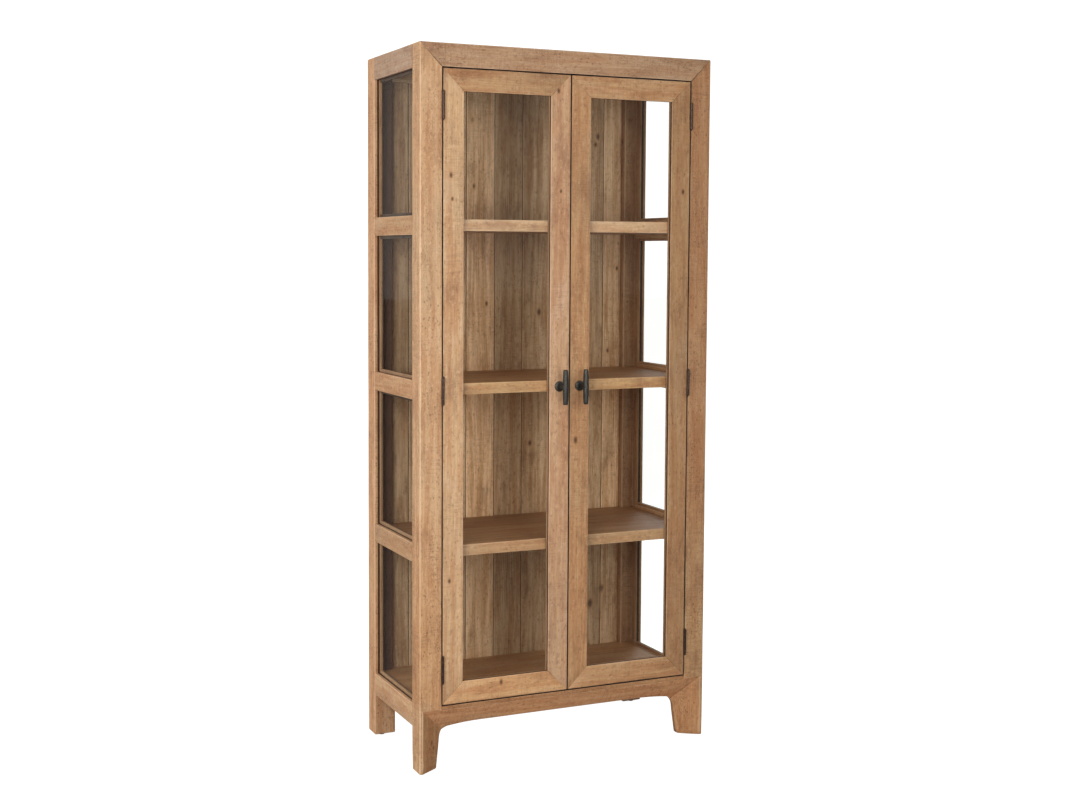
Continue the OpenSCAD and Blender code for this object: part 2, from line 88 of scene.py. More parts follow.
# -------- shader helpers
class Tree:
    """A small wrapper that adds nodes and links to one material."""

    def __init__(self, name):
        self.mat = bpy.data.materials.new(name)
        self.mat.use_nodes = True
        self.nt = self.mat.node_tree
        self.nt.nodes.clear()
        self.out = self.nt.nodes.new("ShaderNodeOutputMaterial")

    def node(self, kind, **props):
        n = self.nt.nodes.new(kind)
        for key, value in props.items():
            setattr(n, key, value)
        return n

    def put(self, socket, value):
        if hasattr(value, "is_output"):
            self.nt.links.new(value, socket)
        elif isinstance(value, (tuple, list)) and len(value) == 3 and socket.type == "RGBA":
            socket.default_value = (*value, 1.0)
        else:
            socket.default_value = value

    def attribute(self, name, output):
        return self.node("ShaderNodeAttribute", attribute_name=name).outputs[output]

    def math(self, op, a, b=0.0, c=0.0):
        n = self.node("ShaderNodeMath", operation=op)
        for socket, value in zip(n.inputs, (a, b, c)):
            self.put(socket, value)
        return n.outputs[0]

    def here(self):
        return self.node("ShaderNodeTexCoord").outputs["Object"]

    def mul(self, a, b):
        return self.math("MULTIPLY", a, b)

    def add(self, a, b):
        return self.math("ADD", a, b)

    def sub(self, a, b):
        return self.math("SUBTRACT", a, b)

    def stretch(self, vector, factors):
        return self.vmath("MULTIPLY", vector, factors)

    def vmath(self, op, a, b=None):
        n = self.node("ShaderNodeVectorMath", operation=op)
        self.put(n.inputs[0], a)
        if b is not None:
            self.put(n.inputs[1], b)
        return n.outputs["Value"] if op == "LENGTH" else n.outputs[0]

    def noise(self, vector, scale=1.0, detail=3.0, rough=0.55, output="Fac"):
        n = self.node("ShaderNodeTexNoise")
        self.put(n.inputs["Vector"], vector)
        n.inputs["Scale"].default_value = scale
        n.inputs["Detail"].default_value = detail
        n.inputs["Roughness"].default_value = rough
        return n.outputs[output]

    def ramp(self, value, low, high, to_low=0.0, to_high=1.0, smooth=True):
        n = self.node("ShaderNodeMapRange")
        n.interpolation_type = "SMOOTHSTEP" if smooth else "LINEAR"
        for socket, v in zip(n.inputs, (value, low, high, to_low, to_high)):
            self.put(socket, v)
        return n.outputs[0]

    def mix(self, fac, a, b, blend="MIX"):
        n = self.node("ShaderNodeMix", data_type="RGBA", blend_type=blend)
        self.put(n.inputs[0], fac)
        self.put(n.inputs[6], a)
        self.put(n.inputs[7], b)
        return n.outputs[2]

    def bump(self, height, strength, distance, normal=None):
        n = self.node("ShaderNodeBump")
        n.inputs["Strength"].default_value = strength
        n.inputs["Distance"].default_value = distance
        self.put(n.inputs["Height"], height)
        if normal is not None:
            self.put(n.inputs["Normal"], normal)
        return n.outputs[0]

    def surface(self, **values):
        n = self.node("ShaderNodeBsdfPrincipled")
        for key, value in values.items():
            self.put(n.inputs[key.replace("_", " ")], value)
        self.nt.links.new(n.outputs[0], self.out.inputs[0])
        return self.mat


def srgb(r, g, b):
    """Turns an 8-bit display colour into scene-linear values."""
    return tuple(((c / 255 + 0.055) / 1.055) ** 2.4 if c > 10 else c / 3294.6 for c in (r, g, b))


GREY_CLOUD = srgb(158, 138, 112)
KNOT_RING, KNOT_EYE = srgb(112, 72, 44), srgb(60, 38, 26)
PIT_BROWN, RASH_BROWN, CHATTER_BROWN = srgb(86, 54, 36), srgb(112, 70, 44), srgb(118, 84, 64)
# the black of old wax in the joints, also used for the painted shade in the door gaps
OLD_WAX_AND_SHADE = srgb(42, 19, 9)
RUBBED_METAL = srgb(120, 104, 90)
GLASS_LINE = 4.2 * MM, 3.0 * MM       # the wax line on the frame fades out and is full this far from the pane


def knots_at(t, places):
    """How near each point is to the closest knot: 1 in its heart, 0 beyond its halo."""
    here = t.here()
    nearest = None
    for x, y, z, size in places:
        off = t.vmath("SUBTRACT", here, (x * MM, y * MM, z * MM))
        far = t.vmath("LENGTH", t.stretch(off, (1 / (size * MM), 0.4 / (size * MM), 0.62 / (size * MM))))
        nearest = far if nearest is None else t.math("MINIMUM", nearest, far)
    return nearest


def pine(name, pale, warm, dark, worn, saw=0.35, speck=0.5, rough=0.62, rings_at=0.16, inner=(1, 1, 1), knots=(),
         glazed=True, gleam=0.38, pitted=0.0):
    """Aged, waxed pine, with the grain along the first axis of the grain attribute.

    saw, speck and pitted: strength of saw marks, small holes and fine pits. inner: tint of the painted shade on faces
    that little light reaches.
    glazed: has the wax line along the side panes. gleam: specular level.
    """
    t = Tree(name)
    grain = t.attribute("grain", "Vector")
    wear = t.attribute("wear", "Fac")

    # slow wander of the fibres, then growth rings around a pith outside the board
    slow = t.noise(t.stretch(grain, (1.9, 9.0, 9.0)), 1.0, 3.0, 0.55, "Color")
    wander = t.stretch(t.vmath("SUBTRACT", slow, (0.5, 0.5, 0.5)), (0.0, 0.034, 0.034))
    bent = t.vmath("ADD", grain, wander)
    radius = t.vmath("LENGTH", t.stretch(bent, (0.0, 1.0, 1.0)))
    rings = t.math("FRACT", t.mul(radius, 150.0))
    late = t.mul(t.ramp(rings, 0.30, 0.90), t.ramp(rings, 1.0, 0.93))
    fade = t.ramp(t.noise(t.stretch(grain, (3.0, 20.0, 20.0)), 1.0, 2.0), 0.35, 0.7)
    late = t.mul(late, fade)
    fibre = t.noise(t.stretch(bent, (16.0, 420.0, 420.0)), 1.0, 4.0, 0.65)
    streak = t.noise(t.stretch(bent, (3.0, 60.0, 60.0)), 1.0, 5.0, 0.62)
    blotch = t.noise(t.stretch(grain, (7.0, 16.0, 16.0)), 1.0, 5.0, 0.62)
    cloud = t.noise(t.stretch(grain, (2.2, 5.0, 5.0)), 1.0, 3.0, 0.5)
    mottle = t.noise(t.stretch(grain, (75.0, 130.0, 130.0)), 1.0, 4.0, 0.7)

    colour = t.mix(t.ramp(streak, 0.34, 0.66), pale, warm)
    colour = t.mix(t.mul(late, rings_at), colour, dark)
    colour = t.mix(t.ramp(blotch, 0.50, 0.72, 0.0, 0.50), colour, dark)
    colour = t.mix(t.ramp(blotch, 0.48, 0.26, 0.0, 0.45), colour, worn)
    colour = t.mix(t.ramp(cloud, 0.50, 0.72, 0.0, 0.30), colour, GREY_CLOUD)
    colour = t.mix(t.ramp(fibre, 0.28, 0.62, 0.34, 0.0, False), colour, dark)
    colour = t.mix(t.ramp(mottle, 0.55, 0.70, 0.0, 0.55), colour, dark)
    colour = t.mix(t.ramp(mottle, 0.45, 0.31, 0.0, 0.42), colour, worn)

    # knots: a few cells of a stretched cell pattern, each with dark rings round it
    cells = t.node("ShaderNodeTexVoronoi", voronoi_dimensions="3D")
    t.put(cells.inputs["Vector"], t.stretch(grain, (0.72, 1.0, 1.0)))
    cells.inputs["Scale"].default_value = 9.0
    chosen = t.node("ShaderNodeSeparateColor")
    t.put(chosen.inputs[0], cells.outputs["Color"])
    pick = t.ramp(chosen.outputs[0], 0.72, 0.73, 0.0, 1.0, False)
    ragged = t.mul(t.sub(blotch, 0.5), 0.06)
    away = t.add(cells.outputs["Distance"], ragged)
    away = t.add(away, t.sub(1.0, pick))
    if knots:
        away = t.math("MINIMUM", away, t.add(t.mul(knots_at(t, knots), 0.075), ragged))
    halo = t.ramp(away, 0.26, 0.10)
    knot = t.ramp(away, 0.105, 0.05)
    eye = t.ramp(away, 0.070, 0.02)
    colour = t.mix(t.mul(halo, 0.35), colour, warm)
    colour = t.mix(t.mul(knot, 0.50), colour, KNOT_RING)
    colour = t.mix(t.mul(eye, 0.72), colour, KNOT_EYE)

    # wormholes, nail marks and planer chatter across the grain
    dots = t.node("ShaderNodeTexVoronoi", voronoi_dimensions="3D")
    t.put(dots.inputs["Vector"], t.stretch(grain, (0.7, 1.0, 1.0)))
    dots.inputs["Scale"].default_value = 95.0
    dot_zone = t.ramp(t.noise(grain, 14.0, 3.0), 0.44, 0.62)
    pits = t.mul(t.ramp(dots.outputs["Distance"], 0.30, 0.12), dot_zone)
    pits = t.mul(pits, speck)
    colour = t.mix(t.mul(pits, 0.8), colour, PIT_BROWN)
    if pitted:
        rash = t.noise(t.stretch(grain, (210.0, 330.0, 330.0)), 1.0, 2.0, 0.6)
        rash_zone = t.ramp(t.noise(t.stretch(grain, (3.0, 22.0, 22.0)), 1.0, 3.0), 0.42, 0.60)
        rash = t.mul(t.ramp(rash, 0.55, 0.64), rash_zone)
        colour = t.mix(t.mul(rash, pitted), colour, RASH_BROWN)
    chatter = t.noise(t.stretch(grain, (260.0, 26.0, 26.0)), 1.0, 3.0, 0.6)
    chatter_zone = t.ramp(t.noise(grain, 5.0, 3.0), 0.42, 0.60, 0.0, saw)
    chatter_mark = t.mul(t.ramp(chatter, 0.46, 0.64), chatter_zone)
    colour = t.mix(t.mul(chatter_mark, 0.55), colour, CHATTER_BROWN)

    # pale rubbed arrises
    rub = t.add(wear, t.mul(t.sub(t.noise(grain, 26.0, 4.0, 0.65), 0.5), 1.3))
    rub = t.ramp(rub, 0.42, 0.95)
    colour = t.mix(t.mul(rub, 0.62), colour, worn)

    # each piece is a little lighter, darker, redder or yellower than its neighbours, and the same factors carry
    # painted light and shade
    colour = t.mix(1.0, colour, t.attribute("tone", "Vector"), "MULTIPLY")

    # painted shade darkens the faces in the cabinet that little light reaches, and old wax is black in the joints and
    # glass lines
    inside = t.ramp(t.attribute("inside", "Fac"), 0.15, 0.75)
    colour = t.mix(inside, colour, inner, "MULTIPLY")
    # dirt and old wax darken the joints and glass lines, and painted shade darkens the door gaps, in one dark colour
    soil_and_shade = t.add(t.attribute("soil_and_shade", "Fac"), t.mul(t.sub(blotch, 0.5), 0.3))
    soil_and_shade = t.ramp(soil_and_shade, 0.30, 0.72)
    if glazed:
        place = t.node("ShaderNodeSeparateXYZ")
        t.put(place.inputs[0], t.here())
        beside = t.sub(t.math("ABSOLUTE", place.outputs[0]), (PANE_LO.x + PANE_HI.x) / 2)
        within = t.math("ABSOLUTE", t.sub(place.outputs[1], (POST_BACK + REAR_FRONT) / 2))
        line = t.mul(t.ramp(t.math("ABSOLUTE", beside), *GLASS_LINE),
                      t.math("LESS_THAN", within, (REAR_FRONT - POST_BACK) / 2 + 0.8 * MM))
        line = t.mul(line, t.math("GREATER_THAN", place.outputs[2], BOARD_LO.z))
        soil_and_shade = t.math("MAXIMUM", soil_and_shade, line)
    colour = t.mix(t.mul(soil_and_shade, 0.92), colour, OLD_WAX_AND_SHADE)

    height = t.add(t.mul(fibre, 0.5), t.mul(late, 0.25))
    height = t.add(height, t.mul(mottle, -0.8))
    height = t.sub(height, t.mul(pits, 1.2))
    height = t.sub(height, t.mul(chatter_mark, 0.5))
    height = t.sub(height, t.mul(eye, 0.8))
    fine = t.bump(height, 0.6, 0.0009)
    normal = t.bump(t.noise(grain, 38.0, 3.0), 0.35, 0.0012, fine)
    gloss = t.ramp(t.add(streak, t.mul(rub, -0.25)), 0.2, 0.9, rough - 0.1, rough + 0.14, False)
    gloss = t.math("MAXIMUM", gloss, t.mul(soil_and_shade, 0.95))
    return t.surface(Base_Color=colour, Roughness=gloss, Normal=normal, Specular_IOR_Level=gleam)


def iron(name, tone, hot, rough):
    """Forged or bronzed metal with a mottled, lightly rubbed skin."""
    t = Tree(name)
    place = t.here()
    wear = t.attribute("wear", "Fac")
    mottle = t.noise(place, 240.0, 4.0, 0.6)
    grainy = t.noise(place, 900.0, 3.0, 0.6)
    colour = t.mix(t.ramp(mottle, 0.35, 0.7), tone, hot)
    rub = t.ramp(t.add(wear, t.mul(t.sub(mottle, 0.5), 1.2)), 0.55, 1.1)
    colour = t.mix(t.mul(rub, 0.6), colour, RUBBED_METAL)
    gloss = t.ramp(grainy, 0.3, 0.7, rough - 0.08, rough + 0.1, False)
    normal = t.bump(t.add(mottle, t.mul(grainy, 0.4)), 0.5, 0.0004)
    return t.surface(Base_Color=colour, Metallic=0.75, Roughness=gloss, Normal=normal)


def pane_glass(name):
    """Thin window glass: clear straight through, with a mirror-like sheen at low angles."""
    t = Tree(name)
    place = t.here()
    ripple = t.bump(t.noise(place, 5.0, 2.0), 0.08, 0.002)
    clear = t.node("ShaderNodeBsdfTransparent")
    smear = t.noise(place, 7.0, 3.0)
    t.put(clear.inputs[0], t.mix(t.ramp(smear, 0.3, 0.8), (0.985, 0.99, 0.987), (0.97, 0.98, 0.973)))
    shine = t.node("ShaderNodeBsdfGlossy")
    shine.inputs["Roughness"].default_value = 0.03
    t.put(shine.inputs["Normal"], ripple)
    facing = t.node("ShaderNodeLayerWeight")
    facing.inputs["Blend"].default_value = 0.5
    schlick = t.math("MULTIPLY_ADD", t.math("POWER", facing.outputs["Facing"], 5.0), 0.20, 0.008)
    join = t.node("ShaderNodeMixShader")
    t.put(join.inputs[0], schlick)
    t.put(join.inputs[1], clear.outputs[0])
    t.put(join.inputs[2], shine.outputs[0])
    t.nt.links.new(join.outputs[0], t.out.inputs[0])
    return t.mat


def dull(name, colour, other, rough):
    """Moulded plastic or plated steel with a fine speckle."""
    t = Tree(name)
    place = t.here()
    speckle = t.noise(place, 300.0, 4.0, 0.6)
    shade = t.mix(t.ramp(speckle, 0.35, 0.7), colour, other)
    gloss = t.ramp(speckle, 0.3, 0.7, rough - 0.06, rough + 0.08, False)
    return t.surface(Base_Color=shade, Roughness=gloss, Normal=t.bump(speckle, 0.3, 0.0003))


PALE = srgb(208, 168, 126)
WARM = srgb(192, 142, 100)
DARK = srgb(136, 90, 60)
WORN = srgb(224, 186, 148)
# tint of the painted shade on the frame's faces in the cabinet
PAINTED_SHADE_TINT = (0.17, 0.14, 0.14)
FACE_Y = FRONT / MM
BOARD_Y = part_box("back_planks")[0].y / MM
# the larger knots, as (x, y, z, size) in millimetres
DOOR_KNOTS = ((-366, FACE_Y, 1674, 5), (-362, FACE_Y, 1609, 4), (-31, FACE_Y, 1637, 4), (368, FACE_Y, 1643, 5),
              (21, FACE_Y, 925, 7), (-369, FACE_Y, 547, 5), (-210, FACE_Y, 242, 6), (-40, FACE_Y, 1918, 5))
BACK_KNOTS = ((103, BOARD_Y, 1277, 8), (73, BOARD_Y, 863, 6), (435, BOARD_Y, 1512, 6), (-77, BOARD_Y, 1305, 5),
              (-120, BOARD_Y, 1666, 5), (306, BOARD_Y, 1832, 7), (298, BOARD_Y, 1806, 6), (331, BOARD_Y, 376, 9),
              (291, BOARD_Y, 330, 10), (378, BOARD_Y, 1414, 5), (394, BOARD_Y, 1352, 3), (347, BOARD_Y, 1150, 5),
              (424, BOARD_Y, 1488, 3))
LEG_KNOTS = ((-411, FACE_Y + 16, 84, 6), (-404, FACE_Y + 22, 68, 5), (-419, FACE_Y + 12, 70, 4))
MATS = {
    "pine_frame": pine("frame_pine", PALE, WARM, DARK, WORN, 0.55, 0.6, inner=PAINTED_SHADE_TINT, knots=LEG_KNOTS, pitted=0.5),
    "pine_door": pine("door_pine", srgb(210, 168, 122), srgb(192, 140, 96), DARK, WORN, 0.35, 0.4, knots=DOOR_KNOTS),
    "pine_bead": pine("bead_pine", srgb(186, 148, 112), srgb(166, 124, 90), srgb(110, 76, 52), srgb(204, 168, 132),
                      0.1, 0.3, inner=(0.16, 0.15, 0.15), glazed=False),
    "pine_shelf": pine("shelf_pine", PALE, WARM, DARK, WORN, 0.35, 0.4, 0.5, inner=(0.66, 0.58, 0.52), gleam=0.6),
    "pine_back": pine("back_pine", srgb(230, 197, 157), srgb(192, 149, 106), srgb(124, 84, 54), srgb(232, 200, 160),
                      0.3, 0.35, rings_at=0.42, knots=BACK_KNOTS),
    "glass": pane_glass("window_glass"),
    "black_iron": iron("handle_iron", srgb(52, 52, 50), srgb(78, 76, 72), 0.42),
    "hinge_bronze": iron("hinge_bronze", srgb(60, 48, 42), srgb(88, 70, 60), 0.4),
    "screw_steel": dull("screw_steel", srgb(150, 144, 138), srgb(120, 114, 108), 0.4),
    "catch_plastic": dull("catch_plastic", srgb(70, 58, 50), srgb(58, 48, 42), 0.55),
    "glide_felt": dull("glide_felt", srgb(50, 46, 42), srgb(38, 36, 34), 0.8),
}


# colour factors on some timbers: partly wood tone, and partly painted light and shade, lighter on the left and darker
# on the right where the light is weaker
TONES_AND_PAINTED_LIGHT = {
    "apron_board": (1.30, 1.16, 1.08),
    "left_door_hinge_stile_timber": (1.18, 1.34, 1.54),
    "left_door_meeting_stile_timber": (1.05, 1.12, 1.32),
    "left_door_bottom_rail_timber": (1.30, 1.30, 1.28),
    "right_door_hinge_stile_timber": (0.81, 0.80, 0.79),
    "right_door_meeting_stile_timber": (0.95, 0.94, 0.93),
    "rail_front_top": (0.96, 1.01, 1.13),
    "post_front_left": (1.15, 1.20, 1.25),
    "post_front_right": (0.83, 0.77, 0.73),
    "post_rear_left": (1.24, 1.24, 1.28),
    "lip_front": (0.84, 0.74, 0.63),
    "rail_left_top": (0.98, 1.11, 1.42),
    "rail_left_bottom": (1.30, 1.33, 1.38),
    "shelf_upper": (1.28, 1.36, 1.46),
    "board_bottom": (1.30, 1.36, 1.36),
    "shelf_middle": (1.24, 1.20, 1.06),
    "shelf_lower": (1.0, 1.0, 0.97),
}
# painted light and shade on the deep chamfer of each front post, which faces away from the light on the left post and
# towards it on the right, and how the colour changes towards its foot
CHAMFER_PAINTED_LIGHT = {"left": (0.74, 0.65, 0.55), "right": (1.10, 1.04, 0.95)}
FOOT_CHANGE = {"left": (-0.06, -0.14, -0.23), "right": (0.14, 0.27, 0.30)}
BELOW_CHAMFER = {"left": 0.0, "right": 0.7}      # how much of that change the leg itself has
FADE_TOP, FADE_SPAN = 0.75, 0.35                 # height where the change starts, and the length of its fade
# painted light and shade on the inner faces of the nine planks, left to right
PLANK_LIGHT = (0.66, 0.66, 1.1, 1.36, 0.94, 0.93, 1.0, 0.88, 1.22)
# and how much painted light they get in each bay, as (top of the bay, factor)
BAY_LIGHT = ((0.62, 0.86), (1.08, 1.16), (1.53, 0.94), (TOP, 1.0))
LOW_LEFT_LIGHT = 1.15      # the least that the two left planks get in the lowest bay
REAR_POST_PAINTED_SHADE = {"left": 1.0, "right": 0.36}      # how much painted shade darkens the inner faces of the rear posts, most in the shadowed left corner


# -------- mesh helpers
def mesh_points(node):
    """The places of a CAD node's vertices."""
    return [v.co for v in frame["nodes"][node].data.vertices]


def rng_for(name):
    return random.Random(zlib.crc32(name.encode()))


def seed_for(name):
    return rng_for(name).uniform(0, 50)


def ring(corners, radii, band=7 * MM, steps=3):
    """Rounds the corners of a closed outline. Gives (point, wear): wear is 1 on an arris and 0 on a flat."""
    made = []
    count = len(corners)
    for i, (p, r) in enumerate(zip(corners, radii)):
        a, b = corners[i - 1] - p, corners[(i + 1) % count] - p
        ra, rb = min(r, 0.4 * a.length), min(r, 0.4 * b.length)
        fa, fb = min(ra + band, 0.46 * a.length), min(rb + band, 0.46 * b.length)
        start, end = p + a.normalized() * ra, p + b.normalized() * rb
        made.append((p + a.normalized() * fa, 0.0))
        for k in range(steps + 1):
            f = k / steps
            at = start * (1 - f) ** 2 + p * 2 * f * (1 - f) + end * f * f
            made.append((at, 0.55 if k in (0, steps) else 1.0))
        made.append((p + b.normalized() * fb, 0.0))
    return made


def rough_up(p, name_seed, amount):
    """A slow wave in the surface, as on hand-planed timber."""
    q = p * 9.0 + Vector((name_seed, 0.0, 0.0))
    return p + noise.noise_vector(q) * amount


ARRIS_DEPTH, SOIL_AND_SHADE_DEPTH = 0.45 * MM, 12 * MM     # how far back the front arris and the face darkened by dirt and painted shade reach
# how dark the visible arris beside a door gap is, from dirt and painted shade
ARRIS_SOIL_AND_SHADE = 0.46


def gap_soil_and_shade(p):
    """1 on the hidden faces of the joints round the doors: dirt and old wax, and painted shade for the dark of the
    gaps.
    """
    deep, x = p.y - FRONT, abs(p.x)
    hidden = deep > ARRIS_DEPTH
    close = 1.0 * MM if hidden else 1.8 * MM
    if deep > SOIL_AND_SHADE_DEPTH or x > POST_IN + close or not LIP_HI.z - close < p.z < TOP_LO.z + close:
        return 0.0
    sides = [abs(x - at) for at in (POST_IN, DOOR_HI.x, DOOR_LO.x)]
    levels = [abs(p.z - at) for at in (LIP_HI.z, TOP_LO.z, DOOR_LO.z, DOOR_HI.z)]
    if min(sides + levels) > close:
        return 0.0
    return 1.0 if hidden else ARRIS_SOIL_AND_SHADE


def make(name, body, slot, verts, faces, wear, grain_axis, centre, smooth=0.7, soil_and_shade=None, inside=None, shade=None):
    """Turns point lists into a piece with the attributes that its material reads.

    grain: place in the timber, along it first; wear: 1 on a rubbed arris; soil: 1 in a joint, for old wax and dirt,
    and for painted shade in the door gaps; inside: 1 on a face darkened by painted shade;
    tone: red, green and blue factors, for wood tone and for painted light and shade. soil is a list, inside and shade
    are functions of a point.
    """
    rng = rng_for(name)
    mesh = bpy.data.meshes.new(name)
    mesh.from_pydata([tuple(v) for v in verts], [], faces)
    bm = bmesh.new()
    bm.from_mesh(mesh)
    bmesh.ops.recalc_face_normals(bm, faces=bm.faces)
    for e in bm.edges:
        e.smooth = not (len(e.link_faces) == 2 and e.calc_face_angle(0.0) > smooth)
    for f in bm.faces:
        f.smooth = True
    bm.to_mesh(mesh)
    bm.free()
    order = {"X": (0, 1, 2), "Y": (1, 2, 0), "Z": (2, 0, 1)}[grain_axis]
    pith = rng.uniform(0.02, 0.11), rng.uniform(0, 2 * math.pi)
    shift = Vector((rng.uniform(0, 40), pith[0] * math.cos(pith[1]), pith[0] * math.sin(pith[1])))
    lean = rng.uniform(-0.012, 0.012)
    light, warmth = rng.uniform(0.94, 1.05), rng.uniform(-0.025, 0.025)
    tone = [light * (1 + warmth), light, light * (1 - warmth)]
    tone = [a * b for a, b in zip(tone, TONES_AND_PAINTED_LIGHT.get(name, (1, 1, 1)))]
    flow = []
    for v in verts:
        local = Vector([(v - centre)[k] for k in order])
        local.y += local.x * lean
        flow.extend(local + shift)
    seams = soil_and_shade or [0.0] * len(verts)
    shades = [shade(v) if shade else (1, 1, 1) for v in verts]
    for key, kind, field, data in (
        ("grain", "FLOAT_VECTOR", "vector", flow),
        ("wear", "FLOAT", "value", wear),
        ("soil_and_shade", "FLOAT", "value", [max(a, gap_soil_and_shade(v)) for a, v in zip(seams, verts)]),
        ("inside", "FLOAT", "value", [inside(v) if inside else 0.0 for v in verts]),
        ("tone", "FLOAT_VECTOR", "vector", [a * b for row in shades for a, b in zip(tone, row)]),
    ):
        mesh.attributes.new(key, kind, "POINT").data.foreach_set(field, data)
    mesh.materials.append(MATS[slot])
    ob = bpy.data.objects.new(name, mesh)
    scene.collection.objects.link(ob)
    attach(ob, body)
    return ob


def skin(rows, count):
    """The faces between rows of count points each, and one face over each end."""
    faces = []
    for i in range(rows - 1):
        for j in range(count):
            a, b = i * count + j, i * count + (j + 1) % count
            faces.append((a, b, b + count, a + count))
    return faces + [tuple(range(count)), tuple((rows - 1) * count + j for j in range(count))]


def corners_of(points):
    """The lowest and highest corners of the points' box."""
    return tuple(Vector([pick(p[k] for p in points) for k in range(3)]) for pick in (min, max))


def loft(name, body, slot, outlines, grain_axis, ease=1.5 * MM, wave=0.35 * MM, seams=(0.8, 0.8),
         inside=None, stain=None, shade=None):
    """Skins a row of equal rings, each a list of (point, wear), and eases both ends into seams."""
    seed = seed_for(name)
    rows = [list(r) for r in outlines]
    for first, inner, at in ((rows[0], rows[1], 0), (rows[-1], rows[-2], len(rows))):
        pts = [p for p, _ in first]
        lo, hi = corners_of(pts)
        mid, size = (lo + hi) / 2, hi - lo
        along = (first[0][0] - inner[0][0]).normalized() * ease
        scale = [1 - 2 * ease / s if s > 4 * ease else 1.0 for s in size]
        axis = "XYZ".index(grain_axis)
        scale[axis] = 1.0
        small = [Vector([mid[k] + (p[k] - mid[k]) * scale[k] for k in range(3)]) for p in pts]
        body_ring = [(p - along, 0.6 * w) for p, w in first]
        cap_ring = [(p, 0.0) for p in small]
        if at == 0:
            rows[0] = body_ring
            rows.insert(0, cap_ring)
        else:
            rows[-1] = body_ring
            rows.append(cap_ring)
    count = len(rows[0])
    verts, wear, soil_and_shade = [], [], []
    for i, row in enumerate(rows):
        end = seams[0] if i == 0 else seams[1] if i == len(rows) - 1 else 0.0
        for p, w in row:
            verts.append(rough_up(p, seed, wave))
            wear.append(w)
            soil_and_shade.append(max(end, stain(p) if stain else 0.0))
    lo, hi = corners_of(verts)
    faces = skin(len(rows), count)
    return make(name, body, slot, verts, faces, wear, grain_axis, (lo + hi) / 2, soil_and_shade=soil_and_shade, inside=inside, shade=shade)


def stations(a, b, pitch=0.035):
    n = max(2, round(abs(b - a) / pitch))
    return [a + (b - a) * i / n for i in range(n + 1)]


def wobble(seed, s, low, high):
    """An edge radius that changes slowly along the piece, as wear does."""
    f = 0.5 + 0.5 * noise.noise(Vector((seed, s * 7.0, 0.5)))
    return low + (high - low) * min(1.0, max(0.0, f))


def bar(name, body, slot, lo, hi, grain_axis, radius=2.0 * MM, wave=0.35 * MM, ends=None, inside=None,
        seams=(0.8, 0.8)):
    """A straight timber with square or mitred ends. ends(point, end) gives an end point's shift."""
    axis = "XYZ".index(grain_axis)
    u, v = [k for k in range(3) if k != axis]
    seed = seed_for(name)
    rows = []
    for s in stations(lo[axis], hi[axis]):
        corners = []
        for cu, cv in ((lo[u], lo[v]), (hi[u], lo[v]), (hi[u], hi[v]), (lo[u], hi[v])):
            p = Vector((0, 0, 0))
            p[axis], p[u], p[v] = s, cu, cv
            corners.append(p)
        radii = [wobble(seed + 3 * k, s, 0.6 * radius, 1.7 * radius) for k in range(4)]
        row = ring(corners, radii)
        if ends is not None:
            f = (s - lo[axis]) / (hi[axis] - lo[axis])
            moved = []
            for p, w in row:
                q = p.copy()
                q[axis] += ends(p, 0) * (1 - f) + ends(p, 1) * f
                moved.append((q, w))
            row = moved
        rows.append(row)
    return loft(name, body, slot, rows, grain_axis, wave=wave, inside=inside, seams=seams)


def mirrored(p, s):
    return Vector((p.x * s, p.y, p.z))


# -------- carcass timbers
SIDES = (("left", -1), ("right", 1))


def knee_profile():
    """The inner edge of a front leg as (z, x) points, from the foot to the mitre with the apron."""
    raw = [p for p in mesh_points("leg_knee_blocks") if p.x > 0]
    back = {(round(v.z, 6), round(v.x, 6)) for v in raw if abs(v.y - POST_BACK) < CLOSE}
    edge = sorted(p for p in back if p[1] < POST_IN - CLOSE)
    return edge, max(p[0] for p in back)


def chamfer_run():
    """How far the deep chamfer goes back per unit of its width."""
    front = mesh_points("leg_knee_blocks")
    deep = min(v.y for v in front if abs(abs(v.x) - POST_IN) < CLOSE)
    return (deep - FRONT) / SLANT_W


RUN = chamfer_run()


